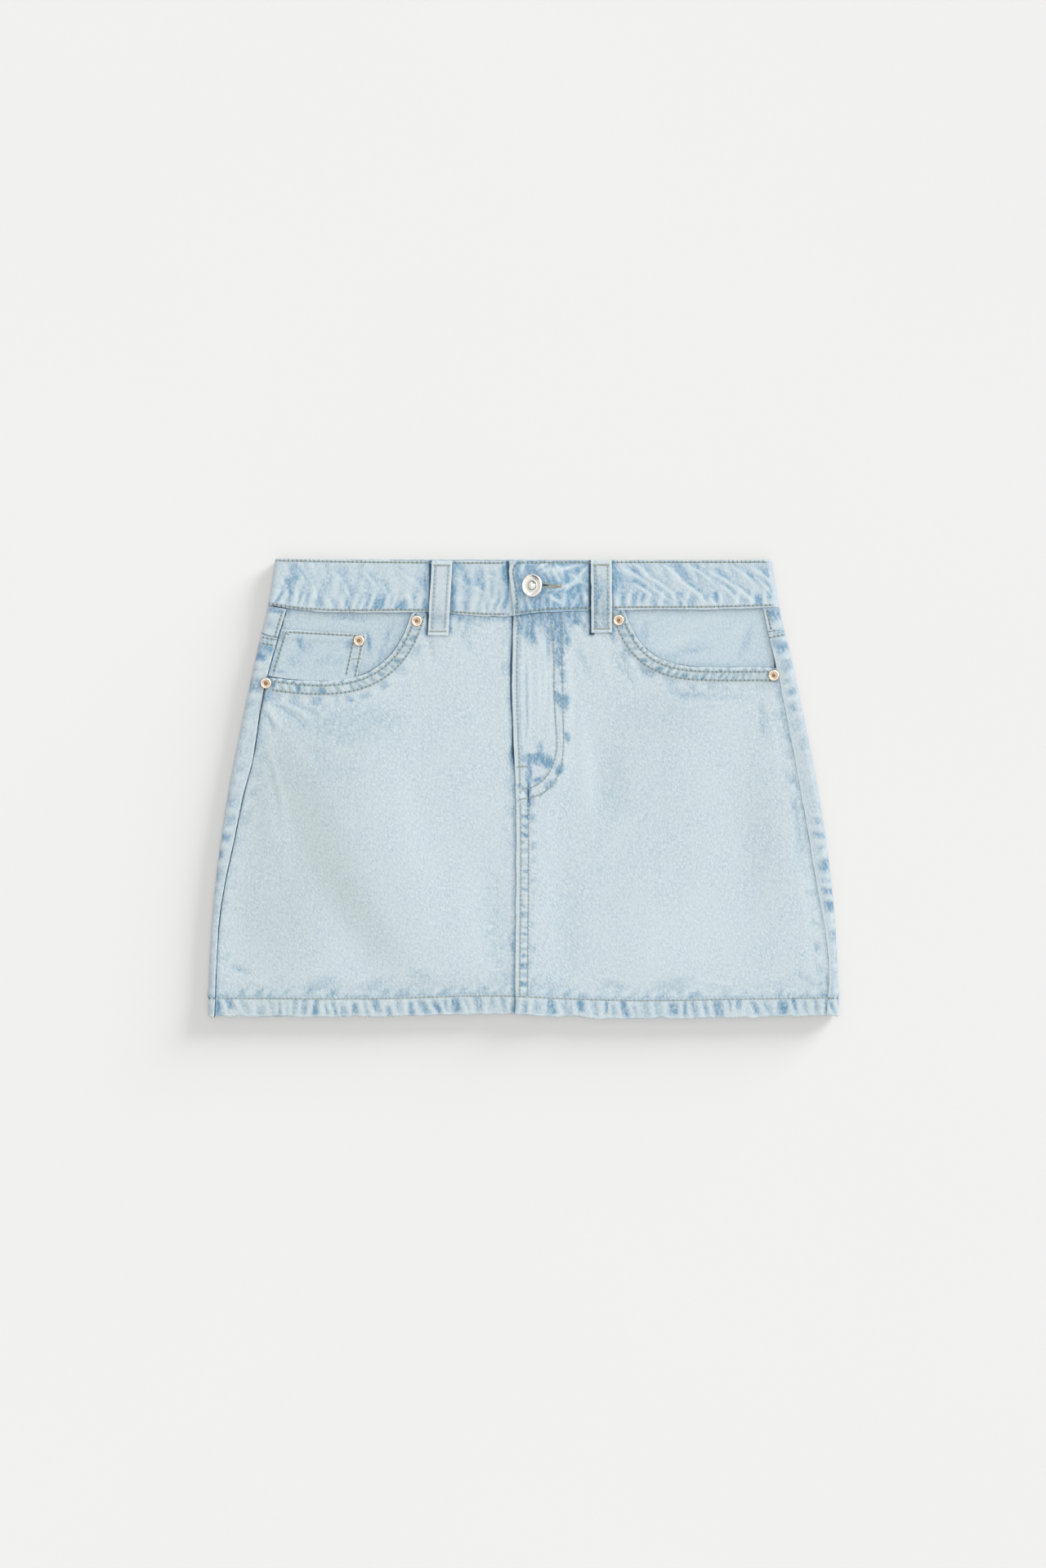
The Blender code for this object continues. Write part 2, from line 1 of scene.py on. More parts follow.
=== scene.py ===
# %% [markdown]
# # A pale washed denim skirt, laid flat
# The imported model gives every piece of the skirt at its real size: the panels, yokes, waistband, belt loops,
# pocket pieces, button and rivets. This script dresses it. Each cloth piece becomes a fine shell on the same
# form, with creases and puckers, and then come the threads, the metal, the light and the camera.

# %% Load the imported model
import math

import bpy
import numpy as np
from mathutils import Matrix, Vector
from mathutils.bvhtree import BVHTree


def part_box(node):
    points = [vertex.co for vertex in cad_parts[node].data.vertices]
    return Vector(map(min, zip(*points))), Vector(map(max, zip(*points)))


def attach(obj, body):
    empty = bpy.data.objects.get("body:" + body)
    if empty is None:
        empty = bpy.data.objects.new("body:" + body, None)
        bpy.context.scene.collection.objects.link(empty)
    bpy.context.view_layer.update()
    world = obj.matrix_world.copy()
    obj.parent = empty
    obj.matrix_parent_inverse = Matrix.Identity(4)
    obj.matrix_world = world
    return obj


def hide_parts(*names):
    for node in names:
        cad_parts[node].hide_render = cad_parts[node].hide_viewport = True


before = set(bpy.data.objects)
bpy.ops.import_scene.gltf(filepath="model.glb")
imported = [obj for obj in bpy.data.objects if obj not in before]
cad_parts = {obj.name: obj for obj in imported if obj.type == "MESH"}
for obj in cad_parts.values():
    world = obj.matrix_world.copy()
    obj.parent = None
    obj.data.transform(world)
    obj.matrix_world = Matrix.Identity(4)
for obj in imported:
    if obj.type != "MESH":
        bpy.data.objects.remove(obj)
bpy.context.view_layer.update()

print("pieces in the packed model:", len(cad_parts))

# %% [markdown]
# ## Sizes
# Everything is in metres: X runs to the wearer's left, Y from the hem to the waist and Z up from the table.
# The skirt lies on its back. These are the cutter's sizes, and every curve below is worked out from them.

# %% Sizes of the cloth and its seams
CLOTH = 0.0012
GAP = 0.0003
SIDE_GAP = 0.0005
HEM_DEPTH = 0.0145
HEM_WALL = 0.0022
BAND_WALL = 0.0022
LOOP_WALL = 0.0013
FRONT_INSIDE = 0.0064
LAP_RISE = CLOTH + GAP
FOLD_REACH = 0.0048
SEAM_RIDGE = 0.0005
SIGN = {"right": -1, "left": 1}

# Half width at the folded side, against the height on the skirt
FOLD_LINE = (
    (-0.1775, 0.2436), (-0.148, 0.243), (-0.098, 0.2402), (-0.047, 0.2346), (0.003, 0.2268),
    (0.054, 0.2168), (0.104, 0.206), (0.139, 0.1976), (0.1775, 0.1914),
)
# How far the side seam lies inside the fold, against the height: on the right and on the left
SIDE_SEAM = (
    (-0.1775, 0.0052, 0.0098), (-0.137, 0.0056, 0.007), (-0.105, 0.0058, 0.0088),
    (-0.072, 0.0075, 0.012), (-0.043, 0.0102, 0.0132), (-0.003, 0.0122, 0.014),
    (0.022, 0.0142, 0.014), (0.06, 0.0125, 0.0136), (0.087, 0.0122, 0.0132),
    (0.105, 0.013, 0.0132), (0.139, 0.0148, 0.0128),
)
# Height of the lower edge, against the place across
HEM_LINE = (
    (-0.2436, -0.1757), (-0.12, -0.1762), (-0.0066, -0.1742), (0.03, -0.176),
    (0.085, -0.1775), (0.16, -0.1766), (0.2436, -0.1753),
)
# The waistband's lower and upper edge, against the place across: at the front and at the back
BAND_LINES = (
    (-0.198, 0.1412, 0.1775), (-0.182, 0.1386, 0.1772), (-0.073, 0.1356, 0.1757),
    (-0.0085, 0.133, 0.1755), (0.01, 0.1352, 0.1756), (0.06, 0.1372, 0.176),
    (0.151, 0.138, 0.1762), (0.198, 0.1394, 0.1764),
)
BACK_BAND_LINES = ((-0.198, 0.1412, 0.1775), (0.0, 0.1386, 0.1766), (0.198, 0.1394, 0.1764))
# Place of the fly's edge and the centre seam, against the height
CENTRE_LINE = ((-0.1775, -0.0064), (0.02, -0.0068), (0.042, -0.0077), (0.083, -0.0088), (0.133, -0.0078))
# Pocket mouths as cubic curves from the waist to the side
MOUTH = {
    "right": ((-0.0866, 0.1346), (-0.102, 0.079), (-0.144, 0.078), (-0.1995, 0.087)),
    "left": ((0.0784, 0.137), (0.095, 0.0846), (0.1267, 0.0947), (0.195, 0.0932)),
}
MOUTH_EDGE = 0.0105
MOUTH_RAISE = 0.0007
FACING_UNDER = 0.014
FACING_TUCK = 0.004
YOKE_CENTRE = 0.085
YOKE_SIDE = 0.1205
YOKE_ON_STRIP = {"right": 0.1163, "left": 0.1226}
UNDERLAP = 0.006
FLY_FOOT = 0.0
FLY_RISE = (0.026, 0.04)
SEAM_RISE = (0.008, 0.034)
TAB_END = (-0.0081, -0.0113)
TAB_RISE = (0.02, 0.042)
BAND_UNDER_END = 0.014
BAND_TAB_RISE = BAND_WALL + GAP
BAND_TOP = FRONT_INSIDE + BAND_WALL
BAND_FOLD = BAND_TOP / 2
COIN_TOP_SIDE = 0.1229
COIN_TOP_INNER = (-0.1207, 0.1191)
COIN_FOOT_INNER = (-0.1276, 0.0868)
COIN_FOOT_SIDE = 0.088
COIN_TOP_RAISE = 0.0006
FRONT_LOOPS = {"right": (-0.0627, -0.0658, 0.118), "left": (0.06, 0.0604, 0.12)}
BACK_LOOPS = {"right": -0.115, "centre": 0.0, "left": 0.115}
LOOP_WIDTH = 0.016
LOOP_BOW = 0.0012
BACK_LOOP_LENGTH = 0.056
BACK_LOOP_CLEAR = 0.003
BACK_LOOP_BELOW = 0.019
# Broad folds of the front: start, end, half width, height
FOLDS = (
    ((-0.15, 0.045), (-0.062, -0.13), 0.036, 0.0017),
    ((-0.05, 0.085), (-0.045, -0.02), 0.03, 0.0008),
    ((0.125, 0.055), (0.1, -0.12), 0.04, 0.0013),
    ((0.195, -0.01), (0.205, -0.125), 0.022, 0.0009),
    ((-0.2, 0.03), (-0.192, -0.04), 0.009, 0.0009),
)
FOLD_EASE = 0.022
RIVETS = {
    "rivet_1": (-0.0822, 0.1292), "rivet_2": (-0.1268, 0.114), "rivet_3": (-0.1985, 0.0812),
    "rivet_4": (0.0734, 0.1298), "rivet_5": (0.193, 0.0872),
}
BUTTON_PLACE = (0.0066, 0.1562)
print("skirt:", round(2 * FOLD_LINE[0][1], 4), "m across the hem")

# %% [markdown]
# ## Camera first
# The skirt lies flat and is seen from straight above, so its seams keep their true shape. A long lens, far
# away, keeps the picture free of perspective.

# %% Camera, straight above
PICTURE_HEIGHT = 1.209  # metres of table from the picture's lower edge to its upper edge
PICTURE_MIDDLE = (-0.0003, 0.0035)
CAMERA_AWAY = 3.0
SKIRT_LEVEL = 0.009
SENSOR = 36.0

camera_data = bpy.data.cameras.new("camera")
camera_data.sensor_width = SENSOR
camera_data.lens = SENSOR * CAMERA_AWAY / PICTURE_HEIGHT
camera_data.clip_end = 50
camera = bpy.data.objects.new("camera", camera_data)
camera.location = (*PICTURE_MIDDLE, CAMERA_AWAY + SKIRT_LEVEL)
bpy.context.scene.collection.objects.link(camera)
bpy.context.scene.camera = camera
print("lens:", round(camera_data.lens, 1), "mm")

# %% [markdown]
# ## Lines and steps
# A garment's edges are gentle curves through a few measured points. `along` makes such a curve from a table,
# and it takes whole arrays, so a piece of cloth with thousands of points is worked out in one call.


# %% Curves through measured points
def along(table, column):
    """A smooth function through one column of a table, against its first column."""
    places = np.array([row[0] for row in table])
    values = np.array([row[column] for row in table])
    slopes = np.gradient(values, places)

    def value(place):
        place = np.clip(place, places[0], places[-1])
        k = np.clip(np.searchsorted(places, place) - 1, 0, len(places) - 2)
        span = places[k + 1] - places[k]
        t = (place - places[k]) / span
        start = values[k] * (1 + 2 * t) * (1 - t) ** 2 + slopes[k] * span * t * (1 - t) ** 2
        end = values[k + 1] * t * t * (3 - 2 * t) + slopes[k + 1] * span * t * t * (t - 1)
        return start + end

    return value


fold_at = along(FOLD_LINE, 1)
seam_inset = {"right": along(SIDE_SEAM, 1), "left": along(SIDE_SEAM, 2)}
hem_at = along(HEM_LINE, 1)
band_low, band_high = along(BAND_LINES, 1), along(BAND_LINES, 2)
back_band_low, back_band_high = along(BACK_BAND_LINES, 1), along(BACK_BAND_LINES, 2)
centre_at = along(CENTRE_LINE, 1)


def soft_step(low, high, value):
    """Rises from 0 to 1 between two values."""
    t = np.clip((value - low) / (high - low), 0, 1)
    return t * t * (3 - 2 * t)


def fade(low, high, value):
    """Falls from 1 to 0 between two values."""
    return 1 - soft_step(low, high, value)


def cubic(pulls, t):
    a, b, c, d = (np.array(p) for p in pulls)
    t = np.asarray(t, float)[..., None]
    return (1 - t) ** 3 * a + 3 * (1 - t) ** 2 * t * b + 3 * (1 - t) * t * t * c + t ** 3 * d


def seam_at(side, y):
    """Place across the skirt of the side seam on the front."""
    return SIGN[side] * (fold_at(y) - seam_inset[side](y))


print("half width at the waist:", round(float(fold_at(0.1775)), 4))


# %% Places beside a path
FAR = 1.0


def beside(path, x, y, reach=FAR):
    """How far along a path each point lies, and how far to its left (or right, as a negative number)."""
    path = np.asarray(path, float)
    x, y = np.broadcast_arrays(x, y)
    run = np.diff(path, axis=0)
    length = np.hypot(*run.T)
    before = np.concatenate([[0], np.cumsum(length)[:-1]])
    went, gap = np.zeros(x.shape), np.full(x.shape, FAR)
    low, high = path.min(0) - reach, path.max(0) + reach
    near = np.flatnonzero(((x > low[0]) & (x < high[0]) & (y > low[1]) & (y < high[1])).ravel())
    points = np.stack([x.ravel()[near], y.ravel()[near]], 1)
    for k in range(0, len(points), 4000):
        away = points[k:k + 4000, None] - path[:-1]
        t = np.clip((away * run).sum(-1) / length ** 2, 0, 1)
        rest = away - t[..., None] * run
        distance = np.hypot(rest[..., 0], rest[..., 1])
        best = distance.argmin(1)
        row = np.arange(len(best))
        left = run[best, 0] * away[row, best, 1] - run[best, 1] * away[row, best, 0]
        went.flat[near[k:k + 4000]] = before[best] + t[row, best] * length[best]
        gap.flat[near[k:k + 4000]] = distance[row, best] * np.where(left < 0, -1, 1)
    return went, gap


MOUTH_PATH = {side: cubic(MOUTH[side], np.linspace(0, 1, 60)) for side in MOUTH}


def mouth_gap(side, x, y):
    """Distance from a pocket mouth, positive on the panel's side of it."""
    return beside(MOUTH_PATH[side], x, y)[1] * -SIGN[side]


print("places on a pocket mouth:", len(MOUTH_PATH["left"]))

# %% [markdown]
# ## Heights of the flat skirt
# A skirt on a table isn't a sheet: the front lies over the back, the left front over the right one at the
# fly, and the hem is turned up and so thicker. These functions give the height of each layer at any point.


# %% Heights of the layers
def folds(x, y):
    """How far the front's broad folds lift it."""
    ease = soft_step(0, FOLD_EASE, fold_at(y) - np.abs(x) - FOLD_REACH)
    ease = ease * soft_step(0, FOLD_EASE, y - hem_at(x) - HEM_DEPTH)
    ease = ease * soft_step(0, FOLD_EASE, band_low(x) - y)
    lift = 0
    for start, end, half_width, height in FOLDS:
        run = np.subtract(end, start)
        t = np.clip(((x - start[0]) * run[0] + (y - start[1]) * run[1]) / (run @ run), 0, 1)
        away = np.hypot(x - start[0] - t * run[0], y - start[1] - t * run[1])
        lift = lift + height * np.exp(-((away / half_width) ** 2))
    return ease * lift


def lap(x, y):
    """How far the left front is lifted over the right one."""
    fly = soft_step(FLY_FOOT - 0.015, FLY_FOOT + 0.012, y)
    start = SEAM_RISE[0] + fly * (FLY_RISE[0] - SEAM_RISE[0])
    end = SEAM_RISE[1] + fly * (FLY_RISE[1] - SEAM_RISE[1])
    return LAP_RISE * fade(start, end, x)


def front_wall(x, y):
    """Thickness of a front panel: one layer, more at the hem and along a pocket mouth."""
    hem = (HEM_WALL - CLOTH) * fade(HEM_DEPTH - 0.0005, HEM_DEPTH + 0.002, y - hem_at(x))
    gap = np.where(x < 0, np.abs(mouth_gap("right", x, y)), np.abs(mouth_gap("left", x, y)))
    mouth = MOUTH_RAISE * fade(MOUTH_EDGE, MOUTH_EDGE + 0.003, gap)
    return CLOTH + np.maximum(hem, mouth)


def front_top(x, y):
    """The front's outer face, without the lap at the fly, falling to the fold at the sides."""
    top = FRONT_INSIDE + folds(x, y) + front_wall(x, y)
    share = 1 - np.clip(fold_at(y) - np.abs(x), 0, FOLD_REACH) / FOLD_REACH
    return top / 2 * (1 + np.sqrt(np.maximum(1 - share * share, 0)))


def back_rise(x, y):
    """How far the back's underside rises over the belt loops that it lies on."""
    rise = np.zeros(np.shape(x))
    for centre in BACK_LOOPS.values():
        beside_loop = np.abs(x - centre) - LOOP_WIDTH / 2 - GAP
        below = back_band_low(x) - SIDE_GAP - BACK_LOOP_BELOW - y
        rise = np.maximum(rise, fade(0, BACK_LOOP_CLEAR, np.maximum(beside_loop, below)))
    return rise * (LOOP_WALL + GAP)


print("front's outer face:", round(float(front_top(0.05, 0.0)) * 1000, 1), "mm above the table")


# %% [markdown]
# ## A piece of cloth
# Denim is about a millimetre thick, so each piece is a closed shell: a grid of points for its outer face, the
# same grid moved in by the wall, and a rounded rim. On the outer grid we paint masks, numbers from 0 to 1
# that the material reads: where the dye is worn pale, where it stayed blue, where a seam is deep indigo, and
# where shade falls: painted shadow beside raised edges, loops and seams, and painted shade over broad folds.


# %% The cloth piece and its grid
class Cloth:
    """A piece of cloth: the grid of its outer face, its wall, its relief and its painted masks."""

    def __init__(self, name, face, wall, flip, grain=None, tucked=False):
        self.name = name
        self.flip = flip
        self.wall = np.broadcast_to(wall, face.shape[:2]).copy()
        self.bulge = np.where(tucked, 0.0, ROUNDNESS * self.wall)
        self.face = drawn_in(face, np.where(tucked, -TUCK, self.bulge), len(name))
        self.x, self.y, self.z = np.moveaxis(self.face, -1, 0)
        self.grain = face[..., :2] if grain is None else grain
        self.relief, self.pale, self.blue, self.deep, self.grey = np.zeros((5, *face.shape[:2]))
        self.row = np.zeros(face.shape) + (0, FAR, 0)
        self.shown = np.ones(face.shape[:2])

    def mark(self, body, **amounts):
        """Adds the same form to the relief and to masks, each with its own strength."""
        for name, amount in amounts.items():
            setattr(self, name, getattr(self, name) + amount * body)

    def normals(self):
        normal = np.cross(np.gradient(self.face, axis=1), np.gradient(self.face, axis=0))
        normal /= np.maximum(np.linalg.norm(normal, axis=-1, keepdims=True), 1e-12)
        return -normal if self.flip else normal


ROUNDNESS = 0.45  # of the wall: how far a cut edge bulges
TUCK = 0.0006  # how far an edge goes on under the piece beside it


def drawn_in(face, amount, seed, reach=0.004):
    """The face with its edges drawn in a little and unevenly, which leaves room for the rounded rim."""
    rng = np.random.default_rng(seed)
    drawn = face.copy()
    views = (
        lambda g: g, lambda g: g[::-1],
        lambda g: g.swapaxes(0, 1), lambda g: g.swapaxes(0, 1)[::-1],
    )
    for view in views:
        line, depth = view(face), view(amount)
        length = np.linalg.norm(np.diff(line, axis=0), axis=-1)
        went = np.concatenate([np.zeros((1, line.shape[1])), np.cumsum(length, 0)])
        inward = np.gradient(line, axis=0)
        inward /= np.maximum(np.linalg.norm(inward, axis=-1, keepdims=True), 1e-12)
        uneven = np.convolve(rng.normal(0, 1, line.shape[1] + 8), np.ones(9) / 9, "valid")
        push = depth[:1] * (1 + 0.7 * uneven) * np.clip(1 - went / reach, 0, 1) ** 2
        target = view(drawn)
        target += inward * push[..., None]
    return drawn


print("a cut edge bulges by", ROUNDNESS, "of the wall")


# %% Grids inside four edges
def stations(length, near, far, steps):
    """Distances along lines of given lengths: set ones near both ends, even steps between them."""
    length = np.atleast_1d(length).astype(float)
    start = np.repeat(np.asarray(near)[:, None], length.size, 1)
    end = length - np.asarray(far)[::-1, None]
    share = np.linspace(0, 1, steps + 1)[1:-1, None]
    return np.concatenate([start, start[-1] + (end[0] - start[-1]) * share, end])


def edge_steps(depth, step=0.00105, first=(0, 0.0005, 0.0011, 0.0019)):
    """Distances in from an edge: close at the edge itself, then even to a depth."""
    return np.concatenate([first, np.arange(first[-1] + step, depth, step)])


def patch(low, high, inner, outer, u, v):
    """Plan points inside four edges. u runs from the inner edge to the outer, v from the low to the high."""
    foot0, foot1, head0, head1 = (edge(np.array(end)) for edge in (low, high) for end in (0.0, 1.0))
    u, v = np.broadcast_arrays(u, v)
    across, up = u[..., None], v[..., None]
    points = (1 - up) * low(u) + up * high(u) + (1 - across) * inner(v) + across * outer(v)
    points -= (1 - across) * (1 - up) * foot0 + across * (1 - up) * foot1
    points -= (1 - across) * up * head0 + across * up * head1
    return points


def plan(x, y):
    return np.stack(np.broadcast_arrays(x, y), -1)


def raised(points, height):
    return np.concatenate([points, np.broadcast_to(height, points.shape[:2])[..., None]], -1)


print("steps in from an edge:", edge_steps(0.006).round(4))

# %% [markdown]
# ## Fronts
# Each front is one panel: its upper edge runs along the waistband and then down round the pocket mouth. A
# patch between the four curved edges gives an even grid, closer at the hem, the mouth and the seams, where
# the small puckers need points.


# %% Front panels
WAIST_SHARE = 0.36  # of the panel's columns that end at the waistband, the rest end at the pocket mouth


def front_panel(side):
    sign = SIGN[side]
    mouth_start = MOUTH[side][0]

    def centre_edge(y):
        return centre_at(y) if side == "left" else np.full(np.shape(y), UNDERLAP)

    foot_y = float(hem_at(centre_edge(-0.17)))
    head_y = float(band_low(centre_edge(0.13))) - SIDE_GAP
    side_head = MOUTH[side][3][1]
    side_foot = float(hem_at(sign * 0.24))

    def low(u):
        start, end = centre_edge(foot_y), seam_at(side, side_foot) - sign * SIDE_GAP
        x = start + (end - start) * u
        return plan(x, hem_at(x))

    def high(u):
        start = centre_edge(head_y)
        waist_x = start + (mouth_start[0] - start) * u / WAIST_SHARE
        point = cubic(MOUTH[side], np.clip((u - WAIST_SHARE) / (1 - WAIST_SHARE), 0, 1))
        limit = seam_at(side, point[..., 1]) - sign * SIDE_GAP
        mouth_x = sign * np.minimum(sign * point[..., 0], sign * limit)
        mouth_y = np.minimum(point[..., 1], band_low(point[..., 0]) - SIDE_GAP)
        on_waist = (u < WAIST_SHARE)[..., None]
        return np.where(on_waist, plan(waist_x, band_low(waist_x) - SIDE_GAP), plan(mouth_x, mouth_y))

    def inner(v):
        y = foot_y + (head_y - foot_y) * v
        return plan(centre_edge(y), y)

    def outer(v):
        y = side_foot + (side_head - side_foot) * v
        return plan(seam_at(side, y) - sign * SIDE_GAP, y)

    width = abs(float(low(np.array(1.0))[0] - low(np.array(0.0))[0]))
    u = (stations(width, edge_steps(0.042, 0.0013), edge_steps(0.01), 134) / width)[:, 0]
    u[np.abs(u - WAIST_SHARE).argmin()] = WAIST_SHARE
    length = np.linalg.norm(high(u) - low(u), axis=-1)
    v = stations(length, edge_steps(0.026), edge_steps(0.015), 190) / length
    points = patch(low, high, inner, outer, u[None, :], v)
    x, y = points[..., 0], points[..., 1]
    wall = front_wall(x, y)
    if side == "right":
        wall = wall + (CLOTH - wall) * fade(0.0008, 0.0018, centre_at(y) - x)
    rise = lap(x, y) if side == "left" else 0.0
    top = front_top(x, y) - front_wall(x, y) + wall + rise
    tucked = np.zeros(x.shape, bool)
    tucked[:, -1] = True
    tucked[-1, u < WAIST_SHARE] = True
    return Cloth(f"front_panel_{side}", raised(points, top), wall, flip=side == "right", tucked=tucked)


fronts = {side: front_panel(side) for side in SIGN}
print("front grid:", fronts["left"].x.shape)

# %% [markdown]
# ## Pocket facings and the coin pocket
# A scooped pocket shows the facing behind it. It goes on under the front and the waistband, so no edge of it
# shows. The small coin pocket lies on the right facing, with its foot caught in the pocket's mouth.


# %% Facings and coin pocket
def pocket_facing(side):
    sign = SIGN[side]
    start_x = MOUTH[side][0][0] - sign * 0.01
    end_inset = FOLD_REACH + 0.0015

    def side_x(y):
        return sign * (fold_at(y) - end_inset)

    def high(u):
        x = start_x + (side_x(0.14) - start_x) * u
        return plan(x, band_low(x) + FACING_TUCK)

    def low(u):
        point = cubic(MOUTH[side], u)
        ahead = cubic(MOUTH[side], np.minimum(u + 0.01, 1)) - cubic(MOUTH[side], np.maximum(u - 0.01, 0))
        ahead /= np.linalg.norm(ahead, axis=-1, keepdims=True)
        x = point[..., 0] + ahead[..., 1] * sign * FACING_UNDER
        y = point[..., 1] - ahead[..., 0] * sign * FACING_UNDER
        return plan(sign * np.minimum(sign * x, sign * side_x(y)), y)

    u, v = np.linspace(0, 1, 84)[None, :], np.linspace(0, 1, 54)[:, None]
    points = (1 - v[..., None]) * low(u) + v[..., None] * high(u)
    top = FRONT_INSIDE + folds(points[..., 0], points[..., 1]) - GAP
    return Cloth(f"pocket_facing_{side}", raised(points, top), CLOTH, flip=side == "right")


def coin_pocket():
    top_side = np.array((float(seam_at("right", COIN_TOP_SIDE)) + SIDE_GAP, COIN_TOP_SIDE))
    foot_side = float(seam_at("right", COIN_FOOT_SIDE)) + SIDE_GAP
    path = MOUTH_PATH["right"][::-1]

    def low(u):
        x = COIN_FOOT_INNER[0] + (foot_side - COIN_FOOT_INNER[0]) * u
        return plan(x, np.interp(x, path[:, 0], path[:, 1]) + 2 * GAP)

    def high(u):
        return np.array(COIN_TOP_INNER) + (top_side - COIN_TOP_INNER) * np.asarray(u)[..., None]

    def inner(v):
        return low(np.array(0.0)) + (high(0.0) - low(np.array(0.0))) * v[..., None]

    def outer(v):
        y = low(np.array(1.0))[1] + (high(1.0)[1] - low(np.array(1.0))[1]) * v
        return plan(seam_at("right", y) + SIDE_GAP, y)

    width, depth = 0.064, 0.034
    u = (stations(width, edge_steps(0.011), edge_steps(0.004), 44) / width)[:, 0]
    v = (stations(depth, edge_steps(0.003), edge_steps(0.008), 22) / depth)
    points = patch(low, high, inner, outer, u[None, :], v)
    edge = (1 - v) * depth
    wall = np.broadcast_to(CLOTH + COIN_TOP_RAISE * fade(0.006, 0.0075, edge), points.shape[:2])
    top = FRONT_INSIDE + folds(points[..., 0], points[..., 1]) + wall
    tucked = np.zeros(wall.shape, bool)
    tucked[:, -1] = tucked[0] = True
    return Cloth("coin_pocket_right", raised(points, top), wall, flip=True, tucked=tucked)


facings = {side: pocket_facing(side) for side in SIGN}
coin = coin_pocket()
print("facing grid:", facings["left"].x.shape, "coin pocket grid:", coin.x.shape)

# %% [markdown]
# ## Backs
# The back is a little wider than the front and wraps round the side folds, so a narrow strip of it shows
# beside each side seam. One grid runs along the flat underside, round the fold and on to that strip. Its
# upper part is the yoke, cut apart by a shallow V seam.

# %% The back's face round the fold
FLAT_FIXED = np.concatenate([edge_steps(0.012, 0.0016) + GAP / 2, np.arange(0.0135, 0.1551, 0.002)])
FLAT_SHARES = np.linspace(0, 1, 34)[1:]
FOLD_ANGLES = np.linspace(0, math.pi / 2, 13)[1:]
STRIP_SHARES = np.linspace(0, 1, 13)[1:]
COLUMN_COUNT = len(FLAT_FIXED) + len(FLAT_SHARES) + len(FOLD_ANGLES) + len(STRIP_SHARES)
FOLD_START = len(FLAT_FIXED) + len(FLAT_SHARES)
STRIP_START = FOLD_START + len(FOLD_ANGLES)


def back_face(side, y):
    """Points of the back's outer face for a grid of heights with one column for each place across."""
    sign = SIGN[side]
    y = np.broadcast_to(y, (len(y), COLUMN_COUNT))
    fold = fold_at(y)
    x, z = np.empty(y.shape), np.empty(y.shape)
    fixed = len(FLAT_FIXED)
    x[:, :fixed] = FLAT_FIXED
    reach = fold[:, fixed:FOLD_START] - FOLD_REACH
    x[:, fixed:FOLD_START] = FLAT_FIXED[-1] + (reach - FLAT_FIXED[-1]) * FLAT_SHARES
    x[:, FOLD_START:STRIP_START] = fold[:, FOLD_START:STRIP_START] - FOLD_REACH * (1 - np.sin(FOLD_ANGLES))
    inset = seam_inset[side](y[:, STRIP_START:]) * STRIP_SHARES ** 1.7
    x[:, STRIP_START:] = fold[:, STRIP_START:] - inset
    x *= sign
    z[:, :FOLD_START] = back_rise(x[:, :FOLD_START], y[:, :FOLD_START])
    half = front_top(sign * fold[:, FOLD_START:STRIP_START], y[:, FOLD_START:STRIP_START])
    z[:, FOLD_START:STRIP_START] = half * (1 - np.cos(FOLD_ANGLES))
    ridge = SEAM_RIDGE * soft_step(0, 0.6, STRIP_SHARES)
    z[:, STRIP_START:] = front_top(x[:, STRIP_START:], y[:, STRIP_START:]) + ridge
    return np.stack([x, y, z], -1)


print("columns of a back:", COLUMN_COUNT)


# %% Panels and yokes of the back
def yoke_seam(side):
    """Height of the yoke's seam at each column."""
    x = np.abs(back_face(side, np.full((1, COLUMN_COUNT), YOKE_SIDE))[0, :, 0])
    height = YOKE_CENTRE + (YOKE_SIDE - YOKE_CENTRE) * np.minimum(x / float(fold_at(YOKE_SIDE)), 1)
    height[STRIP_START:] = YOKE_SIDE + (YOKE_ON_STRIP[side] - YOKE_SIDE) * STRIP_SHARES
    return height


def arc_grain(face, side):
    """Thread coordinates that keep their spacing round the fold."""
    step = np.linalg.norm(np.diff(face, axis=1), axis=-1)
    went = np.concatenate([np.zeros((len(face), 1)), np.cumsum(step, 1)], 1)
    return np.stack([SIGN[side] * went, face[..., 1]], -1)


def back_cloth(name, side, low, high, near, far, steps, wall):
    length = high - low
    y = low + stations(length, near, far, steps)
    face = back_face(side, y)
    thick = wall(face[..., 0], face[..., 1])
    tucked = np.zeros(thick.shape, bool)
    tucked[-1] = True
    cloth = Cloth(name, face, thick, flip=side == "left", grain=arc_grain(face, side), tucked=tucked)
    cloth.shown = soft_step(0.001, 0.004, cloth.z) * (np.arange(COLUMN_COUNT) >= FOLD_START)
    return cloth


def back_wall(x, y):
    return CLOTH + (HEM_WALL - CLOTH) * fade(HEM_DEPTH - 0.0005, HEM_DEPTH + 0.002, y - hem_at(x))


def back_panel(side):
    x = back_face(side, np.full((1, COLUMN_COUNT), -0.1757))[0, :, 0]
    low, high = hem_at(x), yoke_seam(side) - GAP / 2
    near, far = edge_steps(0.019, 0.0012), edge_steps(0.008)
    return back_cloth(f"back_panel_{side}", side, low, high, near, far, 190, back_wall)


def back_yoke(side):
    x = back_face(side, np.full((1, COLUMN_COUNT), 0.139))[0, :, 0]
    on_flat = np.arange(COLUMN_COUNT) <= FOLD_START
    low = yoke_seam(side) + GAP / 2
    high = np.where(on_flat, back_band_low(x), band_low(x)) - SIDE_GAP
    near, far = edge_steps(0.005), edge_steps(0.004)
    return back_cloth(f"back_yoke_{side}", side, low, high, near, far, 14,
                      lambda x, y: np.full(x.shape, CLOTH))


backs = {side: back_panel(side) for side in SIGN}
yokes = {side: back_yoke(side) for side in SIGN}
print("back grid:", backs["left"].x.shape, "yoke grid:", yokes["left"].x.shape)

# %% [markdown]
# ## Waistband
# The band is one doubled strip. It starts at the tab's end, runs across the left front, round the side, over
# the back and round the other side, and ends under the tab, where the button holds both ends together.

